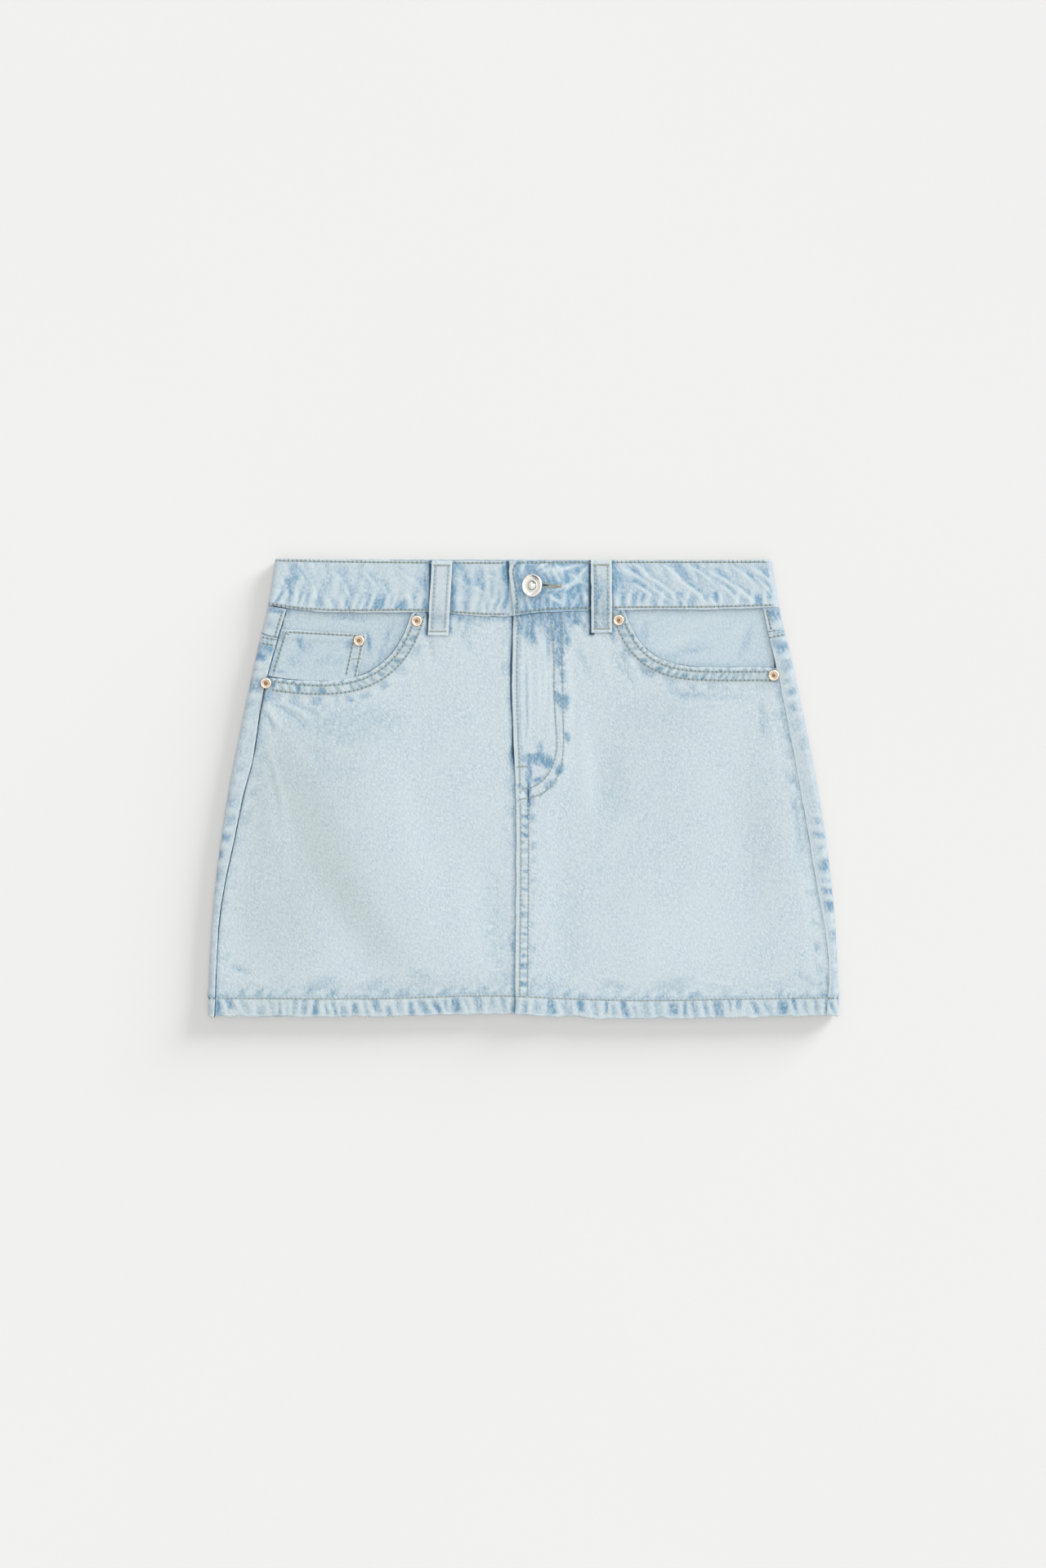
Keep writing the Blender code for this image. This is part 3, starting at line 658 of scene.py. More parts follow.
# %% Waistband's columns
BAND_X = 0.198  # where the band's lines are read at its sides
TAB_CORNER = 0.0065  # radius of the tab's rounded upper corner
BAND_STEP = 0.0013


def band_columns():
    """The band's places in order: a kind of stretch, a place or share in it, and if it is the outer lap."""
    tab_places = np.array([0, 0.0005, 0.0011, 0.0019, 0.003, 0.0042, 0.0055, 0.0068, 0.0081])
    front = [("tab", share) for share in tab_places / tab_places[-1]]
    front += [("front", x) for x in np.arange(BAND_STEP, 0.165, BAND_STEP)]
    front += [("left_side", s) for s in np.linspace(0, 1, 20)]
    around = [("left", s) for s in np.linspace(0, 1, 15)[1:-1]]
    around += [("back_left", s) for s in np.linspace(0, 1, 30)[:-1]]
    around += [("back", x) for x in np.arange(0.1265, -0.1266, -0.002)]
    around += [("back_right", s) for s in np.linspace(0, 1, 30)[1:]]
    around += [("right", s) for s in np.linspace(0, 1, 15)[1:-1]]
    around += [("right_side", s) for s in np.linspace(0, 1, 20)]
    under = [("front", x) for x in np.arange(-0.165 + BAND_STEP, 0.0125, BAND_STEP)]
    under += [("front", BAND_UNDER_END - d) for d in (0.0011, 0.0005, 0)]
    columns = [(kind, value, True) for kind, value in front]
    return columns + [(kind, value, False) for kind, value in around + under]


print("columns of the waistband:", len(band_columns()))


# %% Waistband's places and heights
def band_point(kind, value, outer_lap, share):
    """A column of the band's outer face at shares of its depth."""
    if kind in ("left", "right"):
        sign = SIGN[kind]
        y = band_low(sign * BAND_X) + (band_high(sign * BAND_X) - band_low(sign * BAND_X)) * share
        angle = math.pi * (value if kind == "left" else 1 - value)
        x = sign * (fold_at(y) - BAND_FOLD + BAND_FOLD * np.sin(angle))
        return x, y, np.full(share.shape, BAND_FOLD * (1 + math.cos(angle)))
    if kind in ("left_side", "right_side", "back_left", "back_right"):
        sign = SIGN["left" if "left" in kind else "right"]
        start = 0.1265 if "back" in kind else 0.165
        amount = value if kind in ("left_side", "back_right") else 1 - value
        at = sign * (start + (BAND_X - start) * amount)
        low, high = (back_band_low, back_band_high) if "back" in kind else (band_low, band_high)
        y = low(at) + (high(at) - low(at)) * share
        x = sign * (start + (fold_at(y) - BAND_FOLD - start) * amount)
        return x, y, back_rise(x, y) if "back" in kind else np.full(share.shape, BAND_TOP)
    if kind == "back":
        x = np.full(share.shape, value)
        y = back_band_low(x) + (back_band_high(x) - back_band_low(x)) * share
        return x, y, back_rise(x, y)
    x = np.full(share.shape, float(value))
    if kind == "tab":
        x = (TAB_END[0] + (TAB_END[1] - TAB_END[0]) * share) * (1 - value)
    y = band_low(x) + (band_high(x) - band_low(x)) * share
    if outer_lap:
        end = TAB_END[0] + (TAB_END[1] - TAB_END[0]) * share
        inside = np.clip(TAB_CORNER - (x - end), 0, TAB_CORNER)
        cut = TAB_CORNER - np.sqrt(TAB_CORNER ** 2 - inside ** 2)
        y = y - cut * soft_step(0.35, 1.0, share)
    rise = BAND_TAB_RISE * fade(*TAB_RISE, x) if outer_lap else 0.0
    return x, y, BAND_TOP + rise + np.zeros(share.shape)


print("tab's outer face:", round((BAND_TOP + BAND_TAB_RISE) * 1000, 1), "mm above the table")


# %% Waistband's grid
def waistband():
    depth = 0.0385
    share = (stations(depth, edge_steps(0.008), edge_steps(0.006), 18) / depth)[:, 0]
    columns = band_columns()
    face = np.stack([np.stack(band_point(*column, share), -1) for column in columns], 1)
    edge = np.minimum(share, 1 - share)[:, None] * depth
    wall = BAND_WALL * (0.82 + 0.18 * soft_step(0, 0.0018, edge)) + np.zeros(face.shape[:2])
    step = np.linalg.norm(np.diff(face, axis=1), axis=-1)
    went = np.concatenate([np.zeros((len(face), 1)), np.cumsum(step, 1)], 1)
    cloth = Cloth("waistband", face, wall, flip=False, grain=np.stack([went, face[..., 1]], -1))
    lap_end = next(k for k, column in enumerate(columns) if not column[2])
    back_start = next(k for k, column in enumerate(columns) if column[0] == "back_left")
    back_end = max(k for k, column in enumerate(columns) if column[0] == "back_right")
    place = np.arange(len(columns))
    cloth.outer_lap = np.broadcast_to(place < lap_end, cloth.x.shape)
    cloth.shown = np.broadcast_to((place < back_start) | (place > back_end), cloth.x.shape).astype(float)
    return cloth


band = waistband()
print("waistband grid:", band.x.shape)

# %% [markdown]
# ## Belt loops
# A loop is a narrow strip, folded and sewn down at its ends. It stands a little away from the band between
# them, so a belt can pass. The three at the back lie flat under the skirt.


# %% Belt loops
def front_loop(side):
    top_x, foot_x, foot_y = FRONT_LOOPS[side]
    top_y = float(band_high(top_x)) + 0.0002
    length = top_y - foot_y
    down = stations(length, edge_steps(0.006, 0.0008), edge_steps(0.006, 0.0008), 44)
    sides = edge_steps(0.004, 0.0007)
    across = (stations(LOOP_WIDTH, sides, sides, 11) - LOOP_WIDTH / 2)[:, 0]
    y = top_y - down
    centre = top_x + (foot_x - top_x) * down / length
    on_band = soft_step(band_low(centre) - 0.004, band_low(centre) - 0.0006, y)
    panel = front_top(centre, np.minimum(y, band_low(centre) - 0.002))
    bow = LOOP_BOW * np.sin(math.pi * down / length) ** 1.5
    z = panel + (BAND_TOP - panel) * on_band + GAP + bow + LOOP_WALL
    points = plan(centre + across[None, :], y + 0 * across[None, :])
    cloth = Cloth(f"belt_loop_front_{side}", raised(points, z), LOOP_WALL, flip=True)
    cloth.share = np.broadcast_to(down / length, cloth.x.shape)
    cloth.side = np.broadcast_to(across[None, :], cloth.x.shape)
    return cloth


def back_loop(side):
    centre = BACK_LOOPS[side]
    top = float(back_band_high(centre))
    down = stations(BACK_LOOP_LENGTH, edge_steps(0.004), edge_steps(0.004), 24)
    across = (stations(LOOP_WIDTH, edge_steps(0.003), edge_steps(0.003), 8) - LOOP_WIDTH / 2)[:, 0]
    points = plan(centre + across[None, :], top - down + 0 * across[None, :])
    cloth = Cloth(f"belt_loop_back_{side}", raised(points, 0.0), LOOP_WALL, flip=False)
    cloth.share = np.broadcast_to(down / BACK_LOOP_LENGTH, cloth.x.shape)
    cloth.side = np.broadcast_to(across[None, :], cloth.x.shape)
    cloth.shown = np.zeros(cloth.x.shape)
    return cloth


front_loops = {side: front_loop(side) for side in FRONT_LOOPS}
back_loops = {side: back_loop(side) for side in BACK_LOOPS}
cloths = [*fronts.values(), *facings.values(), coin, *backs.values(), *yokes.values(), band]
cloths += [*front_loops.values(), *back_loops.values()]
print("cloth pieces:", len(cloths))

# %% [markdown]
# ## Wear, blue patches and creases
# Stone washing rubs the dye off everything that stands proud and leaves it in the hollows. So relief and
# colour go together: each helper here raises or lowers the cloth and paints it at the same time. The main
# creases and patches are placed one by one, and the puckers along a seam come from a loop with uneven steps.


# %% Helpers for relief and wear
def crease(cloth, x, y, to_x, to_y, half_width, height, bend=0.0, where=1.0, **masks):
    """A soft ridge, or a trough if its height is negative, along an arc between two places."""
    start, end = np.array((x, y)), np.array((to_x, to_y))
    t = np.linspace(0, 1, 15)[:, None]
    across = np.array((start[1] - end[1], end[0] - start[0]))
    path = start + (end - start) * t + across * bend * 4 * t * (1 - t)
    went, gap = beside(path, cloth.x, cloth.y, reach=4 * half_width)
    share = went / np.hypot(*np.diff(path, axis=0).T).sum()
    body = np.exp(-((gap / half_width) ** 2)) * np.sin(math.pi * np.clip(share, 0, 1)) ** 0.7 * where
    cloth.mark(body, relief=height, **masks)


def smudge(cloth, x, y, wide, tall, turn=0.0, where=1.0, **masks):
    """A soft-edged oval of wear, of unworn dye or of painted shade, from its two half widths and its turn in
    degrees.
    """
    c, s = math.cos(math.radians(turn)), math.sin(math.radians(turn))
    dx, dy = cloth.x - x, cloth.y - y
    body = np.exp(-(((dx * c + dy * s) / wide) ** 2 + ((dy * c - dx * s) / tall) ** 2) ** 1.5) * where
    cloth.mark(body, **masks)


print("helpers:", crease.__name__, smudge.__name__)


# %% Tables of marks, and windows
SHARES = {"turn", "bend", "blue", "pale", "deep", "grey"}  # the other columns are millimetres


def each(mark, cloth, text, **more):
    """Makes a mark for each row of a table, whose first line names its columns. Returns their count."""
    names, *rows = (line.split() for line in text.strip().splitlines())
    for row in rows:
        values = {n: float(v) if n in SHARES else round(float(v) / 1000, 7) for n, v in zip(names, row)}
        mark(cloth, **values, **more)
    return len(rows)


def window(value, low, high, soft=0.0008):
    return soft_step(low - soft, low + soft, value) * fade(high - soft, high + soft, value)


print("columns that aren't millimetres:", ", ".join(sorted(SHARES)))


# %% Puckers along a seam
def puckers(cloth, path, low, high, pitch, height, blue, pale, seed,
            lean=0.0, ridge=0.22, even=0.62, where=1.0):
    """Uneven ridges across a seam, between two distances to its path's left, with blue hollows between."""
    rng = np.random.default_rng(seed)
    went, gap = beside(path, cloth.x, cloth.y, reach=max(abs(low), abs(high)) + 0.004)
    inside = window(gap, low, high) * where
    length = np.hypot(*np.diff(np.asarray(path, float), axis=0).T).sum()
    near = inside > 0.001
    w, g = went[near], gap[near] - (low + high) / 2
    top, hollow, place = np.zeros(w.shape), np.zeros(w.shape), rng.uniform(0, pitch)
    calm, swell = rng.uniform(0, 6), rng.uniform(0.018, 0.034)
    while place < length:
        strong = even + (1 - even) * math.sin(place / swell + calm)
        width = pitch * ridge * rng.uniform(0.6, 1.4)
        tilt = lean + rng.normal(0, 0.22)
        middle = (high - low) * rng.uniform(-0.35, 0.35)
        reach = (high - low) * rng.uniform(0.45, 1.1)
        away = (w - place - tilt * g) / width
        crest = (0.5 + 0.5 * strong) * rng.uniform(0.5, 1)
        top = np.maximum(top, crest * np.exp(-away ** 2 - ((g - middle) / reach) ** 2))
        step = pitch * rng.uniform(0.6, 1.5)
        between = (w - place - step / 2 - tilt * g) / (step * rng.uniform(0.24, 0.42))
        drop = (high - low) * rng.uniform(-0.3, 0.3)
        tall = (high - low) * rng.uniform(0.3, 0.8)
        dye = strong * rng.uniform(0.25, 1) * np.exp(-between ** 4 - ((g - drop) / tall) ** 4)
        hollow = np.maximum(hollow, dye)
        place += step
    cloth.relief[near] += height * (top - 0.35 * hollow) * inside[near]
    cloth.pale[near] += pale * top * inside[near]
    cloth.blue[near] += blue * hollow * (1 - top) * inside[near]


def mirrored(side, low, high):
    """A window beside a seam of the right, or its mirror image for the left."""
    return (low, high) if side == "right" else (-high, -low)


print("window on the right and on the left:", mirrored("right", 0.001, 0.003), mirrored("left", 0.001, 0.003))


# %% Rows of topstitching
SEWN = []
STITCH_PITCH = 0.0033


def stitch_row(cloth, path, where=1.0, under=False, groove=0.00013):
    """A row of topstitching: a shallow groove, needle holes for the material, and a path for the thread."""
    went, gap = beside(path, cloth.x, cloth.y, reach=0.004)
    near = fade(0.0019, 0.0026, np.abs(gap)) * where
    taken = near > cloth.row[..., 2]
    cloth.row[taken] = np.stack([went, gap, near], -1)[taken]
    cloth.relief -= groove * np.exp(-((gap / 0.0011) ** 2)) * where
    SEWN.append((cloth, np.asarray(path, float), under))


def between(a, b, steps=2):
    return np.linspace(a, b, steps)


def offset(path, distance):
    """The path moved to its left."""
    ahead = np.gradient(np.asarray(path, float), axis=0)
    ahead /= np.linalg.norm(ahead, axis=1, keepdims=True)
    return path + np.stack([-ahead[:, 1], ahead[:, 0]], 1) * distance


print("stitch pitch:", STITCH_PITCH * 1000, "mm")

# %% [markdown]
# ## The hem
# The hem is turned up twice and sewn 14 mm above the edge. Twisted between its layers it ropes: pale ridges
# stand up across it, blue hollows lie between them, and its lowest edge is rubbed almost white.

# %% Hem
HEM_ROW = 0.014
HEM_EDGE_PALE = 0.0018


def hem_path(height, side=None):
    ends = {"left": (-0.008, 0.2436), "right": (0.0, -0.2436), None: (-0.2436, 0.2436)}[side]
    x = np.linspace(*ends, 60)
    return plan(x, hem_at(x) + height)


def waver(cloth, seed=5):
    """Lets the lower edge run in and out a little, as a rubbed hem does."""
    rng = np.random.default_rng(seed)
    wave, place = np.zeros(cloth.x.shape), -0.246
    while place < 0.246:
        width = rng.uniform(0.0016, 0.004)
        wave += rng.uniform(-0.0006, 0.0006) * np.exp(-(((cloth.x - place) / width) ** 2))
        place += rng.uniform(0.0022, 0.0055)
    cloth.face[..., 1] += wave * fade(0.0003, 0.005, cloth.y - hem_at(cloth.x))


def dress_hem(cloth, seed, where=1.0, dye=0.98):
    depth = cloth.y - hem_at(cloth.x)
    path = hem_path(0.0)
    eased = soft_step(HEM_DEPTH - 0.0005, HEM_DEPTH + 0.002, depth)
    eased = eased - soft_step(HEM_DEPTH, HEM_DEPTH + 0.0085, depth)
    cloth.relief += (HEM_WALL - CLOTH) * 0.85 * np.maximum(eased, 0) * where
    for values in (
        (0.0006, 0.0136, 0.0082, 0.00052, 1.35, dye, seed, -0.2, 0.22, 0.92),
        (0.0152, 0.0215, 0.013, 0.00034, 0.78, 0.25, seed + 1, 0.7, 0.24, 0.75),
        (0.0205, 0.032, 0.03, 0.00022, 0.3, 0.1, seed + 2, 0.9, 0.3),
    ):
        puckers(cloth, path, *values, where=where)
    cloth.blue += 0.03 * window(depth, 0.0015, 0.0135, 0.0012) * where
    cloth.blue += 0.1 * window(depth, 0.0165, 0.025, 0.003) * where
    cloth.grey += (0.28 - 0.18 * soft_step(-0.02, 0.02, cloth.x)) * fade(0.015, 0.03, depth) * where
    cloth.pale += 0.75 * fade(0.0004, HEM_EDGE_PALE + 0.0008, depth) * where
    cloth.blue += 0.3 * window(depth, HEM_ROW + 0.0002, HEM_ROW + 0.003) * where


for number, side in enumerate(SIGN):
    waver(fronts[side])
    waver(backs[side])
    dress_hem(fronts[side], 11 + 10 * number, dye=0.98 if side == "right" else 0.66)
    dress_hem(backs[side], 31 + 10 * number, where=backs[side].shown)
print("hem stitched", HEM_ROW, "m above the edge")

# %% [markdown]
# ## Side seams
# The back's pressed edge stands a little above the front, so each side seam is a bright rubbed edge with a
# dark line beside it: painted shadow over unworn indigo, dark on the wearer's right and faint on the left.
# Blue patches follow the seam where the layers bunch below.


# %% Side seams
def seam_path(side, low, high, outward=0.0):
    y = np.linspace(low, high, 60)
    return plan(seam_at(side, y) + SIGN[side] * outward, y)


for number, side in enumerate(SIGN):
    sign = SIGN[side]
    panel, back, yoke = fronts[side], backs[side], yokes[side]
    seam = seam_path(side, -0.176, 0.139)
    inside = np.abs(seam_at(side, panel.y)) - np.abs(panel.x)
    below_mouth = fade(0.08, 0.092, panel.y)
    high_up = soft_step(0.015, 0.045, panel.y)
    # Beside the front's edge: a dark line of painted shadow, wide and strong on the wearer's right and faint
    # on the left, over a bluer band, and a grey painted shade where the front falls to the fold.
    if side == "right":
        panel.deep += fade(0.0005, 0.0013 + 0.0005 * high_up, inside) * below_mouth * (0.78 + 0.14 * high_up)
    else:
        panel.deep += fade(0.0006, 0.0014, inside) * below_mouth * 0.12
    panel.blue += fade(0.0012, 0.004 + 0.002 * high_up, inside) * (0.3 + 0.2 * high_up) * below_mouth
    panel.grey += fade(0.001, 0.003, inside) * 0.35 * below_mouth
    for cloth in (back, yoke):
        on_strip = cloth.shown
        outside = np.abs(cloth.x) - np.abs(seam_at(side, cloth.y))
        rim = {"right": (0.0007, 0.0015, 0.55), "left": (0.0009, 0.0021, 0.95)}[side]
        cloth.pale += fade(rim[0], rim[1], outside) * rim[2] * on_strip
        puckers(cloth, seam, *mirrored(side, 0.0022, 0.013), 0.0112, 0.0004, 1.15, 0.72, 51 + 10 * number,
                ridge=0.26, even=0.52, where=on_strip)
        cloth.blue += 0.04 * on_strip
    puckers(panel, seam_path(side, -0.16, 0.08), *mirrored(side, -0.01, -0.0012), 0.016, 0.0003, 0.52, 0.1,
            71 + number, lean=0.5 * sign, ridge=0.34)
print("side seams dressed")

# %% [markdown]
# ## Pocket mouths
# The mouth's edge is turned under and held by two rows. Between them the cloth ropes as at the hem.

# %% Pocket mouths
MOUTH_ROWS = (0.0034, 0.01)
for number, side in enumerate(SIGN):
    panel, sign = fronts[side], SIGN[side]
    gap = mouth_gap(side, panel.x, panel.y)
    panel.pale += fade(0.0006, 0.0018, gap) * 0.15
    panel.blue += window(gap, 0.0024, 0.0108, 0.001) * 0.24
    panel.grey += window(gap, 0.002, 0.0112, 0.001) * 0.5
    blue, pale, even = {"right": (1.1, 1.55, 0.95), "left": (1.25, 1.1, 0.72)}[side]
    near, far = MOUTH_ROWS
    for low, high, *size, seed, lean, ridge, even in (
        (near + 0.0006, far - 0.0004, 0.0056, 0.0008, blue, pale, 81, 0.5 * sign, 0.27, even),
        (0.0004, 0.0032, 0.0052, 0.0004, 1.1, 0.9, 85, 0.0, 0.27, 0.9),
        (far + 0.0012, far + 0.0085, 0.012, 0.00034, 0.85, 0.2, 91, 0.0, 0.3, 0.62),
    ):
        puckers(panel, MOUTH_PATH[side], *mirrored(side, low, high), *size, seed + number, lean, ridge, even)
    facing = facings[side]
    behind = -mouth_gap(side, facing.x, facing.y)
    # On the facing behind the mouth's edge: a bluer painted shade, a darker painted shadow close under the
    # edge, widest at the curve, and a light bluer painted shade under the waistband.
    facing.blue += fade(0.0005, 0.009, behind) * 0.26
    shadow = 0.0008 + 0.001 * np.exp(-(((np.abs(facing.x) - 0.106) / 0.02) ** 2))
    facing.deep += fade(-0.0004, shadow, behind) * 0.75
    under_band = band_low(facing.x) - facing.y
    facing.blue += fade(0.0008, 0.005, under_band) * 0.15
    for distance in MOUTH_ROWS:
        path = offset(MOUTH_PATH[side], distance * -sign)
        x, y = path.T
        keep = (y < band_low(x) - 0.0012) & (np.abs(x) < np.abs(seam_at(side, y)) - 0.002)
        stitch_row(panel, path[keep])
print("pocket mouths: rows at", MOUTH_ROWS, "m")

# %% [markdown]
# ## Fly and centre seam
# The left front's edge is folded and lies over the right front, which leaves a dark gap beside a rubbed edge.
# A double row curves from the waistband to the fly's foot: it holds the facing behind. Below it the centre
# seam is sewn with two rows as well, and a bar tack closes the foot of the opening.

# %% Fly
FLY_ROW = 0.0036
WORN_ROW = 0.55  # how plainly a rubbed row's needle holes show
SEAM_ROWS = (0.0036, 0.0096)
J_INNER = (
    (0.0211, 0.134), (0.0236, 0.0964), (0.0236, 0.0762), (0.0246, 0.0554), (0.0253, 0.0284),
    (0.0217, 0.0158), (0.0148, 0.0063), (0.0066, 0.0009), (-0.0036, -0.0006),
)
J_OUTER = (
    (0.0293, 0.1345), (0.0299, 0.0964), (0.0306, 0.0554), (0.0306, 0.0284), (0.028, 0.0132),
    (0.0217, 0.0025), (0.0135, -0.0044), (0.0028, -0.0073), (-0.0036, -0.0088),
)
FLY_TACK = ((-0.005, 0.0168), (0.0034, 0.0172))


def smooth_path(points, steps=90):
    """A smooth curve through a few places, by their distance along."""
    points = np.array(points)
    went = np.concatenate([[0], np.cumsum(np.hypot(*np.diff(points, axis=0).T))])
    share = np.linspace(0, went[-1], steps)
    table = np.column_stack([went, points])
    return plan(along(table, 1)(share), along(table, 2)(share))


def centre_path(low, high, aside=0.0):
    y = np.linspace(low, high, 50)
    return plan(centre_at(y) + aside, y)


left, right = fronts["left"], fronts["right"]
edge = left.x - centre_at(left.y)
above_foot = soft_step(0.0, 0.02, left.y)
left.pale += fade(0.001, 0.0022, edge) * 0.35
left.blue += window(edge, 0.0042, 0.0062, 0.001) * 0.42 * above_foot
left.pale += window(edge, 0.0075, 0.01, 0.0012) * 0.35 * above_foot
puckers(left, centre_path(-0.16, -0.006), -0.0096, -0.0036, 0.0054, 0.00042, 1.7, 1.1, 101, 0.25, 0.24, 0.85)
puckers(left, centre_path(-0.16, -0.012), -0.0155, -0.0102, 0.011, 0.00026, 0.75, 0.25, 102, 0.0, 0.28, 0.7)
beside_fly = centre_at(right.y) - right.x
open_fly = soft_step(0.014, 0.026, right.y)
# A painted shadow of the left front's edge on the right front, over unworn indigo, wider and darker where the
# fly opens.
shadow = fade(0.0004 + 0.0004 * open_fly, 0.001 + 0.0007 * open_fly, beside_fly)
right.deep += shadow * (0.4 + 0.55 * open_fly)
right.blue += fade(0.0012, 0.0042, beside_fly) * 0.5
puckers(right, centre_path(-0.165, 0.12), 0.0012, 0.0085, 0.019, 0.00024, 0.36, 0.1, 103, ridge=0.34)

print("fly edge and centre seam dressed")

# %% Patches of unworn dye round the fly, one of them at the foot of its painted shadow
patches = each(smudge, left, """
x y wide tall turn blue deep
2 125 5.5 8 0 1.2375
7.5 116 5 5.5 20 0.9075
14 129 6 3 -10 0.825
25 124 6.5 8.5 5 1.4025
31.5 116 4.5 7 10 0.9075
40.5 130 6 4 -25 0.9075
50 126 4.5 8 -15 0.7425
27.5 101 3.5 8 0 0.825
26.2 70 3 5.2 20 1.32
32.2 66.5 3.4 6.2 -10 1.5675
30 86 3 6 0 0.5775
33.8 40 2.2 4.4 15 1.4025
4 23 5 3.5 0 1.155
13 22.5 6.5 4.5 0 1.65
19.5 19 4 4.5 -30 1.4025
13 31 2.5 5 0 0.7425
28 15 2.6 4.5 -30 1.32
4 11 2.2 8.5 0 1.815
3.8 -8 1.6 11 0 2.145
20 3 4.5 3 40 0.825
11 6 3.5 3 30 0.5775
12 129 21 7.5 0 0.55
26 118 7.5 18 0 0.35
3 124 4 7 0 0 0.22
26.5 125.5 4 6 0 0 0.2
3.8 -5 0.9 10 0 0 0.95
""")
# A dark blue patch at the foot of the fly's painted shadow, partly unworn dye.
smudge(right, -0.0086, 0.025, 0.0026, 0.008, blue=0.9, deep=0.35)
print("patches round the fly:", patches)

# %% Pale streaks, fine folds and rows of the fly
each(crease, left, """
x y to_x to_y half_width height pale blue
3 118 3.2 26 1.1 0.36 0.855 0
1.6 98 1.8 33 0.7 -0.33 0 0.765
10.5 110 11 40 1.2 0.33 0.76 0
16.5 118 15 56 1.4 0.36 0.76 0
20 100 19.5 35 1.1 0.3 0.665 0
8 126 15 102 1.2 0.45 0.95 0
18 130 17.5 90 1.2 -0.36 0 0.595
36 129 48 112 1.6 0.51 0.57 0
44 133 58 115 1.6 0.45 0.57 0
34 105 35 30 1.8 0.36 0.418 0
6 17 23 12 1.4 0.45 0.57 0
3 3 20 11 1.3 -0.36 0 0.51
""", bend=0.02)
crease(left, -0.005, 0.0262, 0.015, 0.0252, 0.0007, -0.0002, 0.02, blue=0.9)
crease(left, 0.0038, 0.016, 0.004, -0.002, 0.0009, -0.00024, blue=0.9)
inner_row, outer_row = smooth_path(J_INNER), smooth_path(J_OUTER)
for number, path in enumerate((inner_row, outer_row)):
    puckers(left, path, -0.0022, 0.0022, 0.0056, 0.00026, 0.6, 0.35, 105 + number, ridge=0.26)
    stitch_row(left, path, where=WORN_ROW)
stitch_row(left, centre_path(-0.003, 0.133, FLY_ROW), where=WORN_ROW)
for distance in SEAM_ROWS:
    top = -0.0096 if distance == SEAM_ROWS[0] else -0.009
    stitch_row(left, centre_path(-0.159, top, distance), where=WORN_ROW)
for side in SIGN:
    stitch_row(fronts[side], hem_path(HEM_ROW, side)[1:-1], where=WORN_ROW)
print("fly rows:", len(J_INNER), "and", len(J_OUTER), "places")

# %% [markdown]
# ## Broad and small creases of the fronts
# The broad folds are already in the form. On top of them come the small creases that start at the rivets, the
# loops and the seams, where the cloth is held, and die away in the open panel.

# %% Creases on the fronts
creased = each(crease, right, """
x y to_x to_y half_width height bend blue pale
-205.8 42 -189 -35 2.6 -0.55 0.06 0.12 0
-202.5 40 -185 -32 2.4 0.45 0.06 0 0.35
-202 61 -193 43 1.8 -0.63 0.1 0.5 0
-199 64 -183 44 1.8 0.56 -0.06 0 0.4
-196 66 -166 44 2 -0.588 0.08 0.45 0
-190 67 -160 48 1.8 0.56 0.08 0 0.35
-182 65 -156 56 2 -0.504 0.06 0.4 0
-172 64 -148 52 2.2 0.42 0.04 0 0.22
-166 33 -145 5 5.5 -0.4 0.03 0.1 0
-156 20 -125 -65 15 -0.9 0.02 0 0
-138 -35 -98 -130 16 -0.85 0.02 0 0
-112 30 -80 -80 12 0.5 0.02 0 0.12
-52 133 -30 124 2 -0.476 -0.05 0.32 0
-48 131 -24 118 2 0.448 -0.05 0 0.3
-54 126 -40 104 2.4 -0.3 0.06 0.25 0
-74 122 -70 96 2.2 -0.42 0.04 0.25 0
-79 108 -74 85 2 0.392 0.04 0 0.22
-18 90 -16 30 3.5 0.28 0.02 0 0.14
-25 -60 -21 -156 9 -0.5 0.02 0.14 0
-52 -30 -44 -150 12 0.35 0.02 0 0.12
-228 -137 -208 -148 2.2 -0.476 0.08 0.4 0
-218 -142 -190 -154 1.8 0.476 -0.06 0 0.35
-90 -140 -65 -152 3 -0.24 0.05 0.25 0
""")
creased += each(crease, left, """
x y to_x to_y half_width height bend blue pale
44 62 48 -30 6 0.6 0.02 0 0.28
66 34 70 -30 11 -0.85 -0.02 0.12 0
70 110 90 84 2.6 0.34 0.08 0 0.28
66 102 86 76 2.8 -0.36 0.08 0.32 0
56 118 64 84 2.8 0.34 0.04 0 0.26
40 110 52 82 2.6 -0.3 0.05 0.28 0
108 76 150 72 3 -0.3 -0.05 0.35 0
135 70 178 69 3 -0.24 0.03 0.22 0
182 70 185 35 3.2 -0.34 0.03 0.32 0
190 56 196 10 2.6 0.32 0.03 0 0.26
206 0 214 -62 3.4 -0.4 0.03 0.3 0
212 -50 222 -118 3.4 0.36 -0.03 0 0.26
100 35 95 -70 15 -0.55 0.02 0.05 0
145 30 132 -100 16 0.5 0.02 0 0.12
170 -10 178 -120 13 -0.5 0.02 0.05 0
30 -50 36 -150 10 -0.45 0.02 0.07 0
208 -142 226 -153 2.4 -0.3 0.06 0.4 0
130 -148 164 -155 2.2 0.364 0.05 0 0.25
56 -148 80 -156 2.8 -0.24 0.05 0.3 0
""")


print("front creases:", creased)


# %% Creases and broad areas of the fronts
def under_band_fan(cloth, low_x, high_x, seed, where=1.0):
    """Short creases that fan down from the waistband's seam."""
    rng = np.random.default_rng(seed)
    x = low_x
    while x < high_x:
        length, lean = rng.uniform(0.006, 0.016), rng.uniform(-0.6, 0.6)
        y = float(band_low(x)) - 0.001
        sign = rng.choice((-1, 1))
        half_width, height = rng.uniform(0.0012, 0.0022), sign * rng.uniform(0.00016, 0.0003)
        crease(cloth, x, y, x + length * lean, y - length, half_width, height, 0.05,
               blue=0.45 * (sign < 0), pale=0.3 * (sign > 0), where=where)
        x += rng.uniform(0.0045, 0.0095)


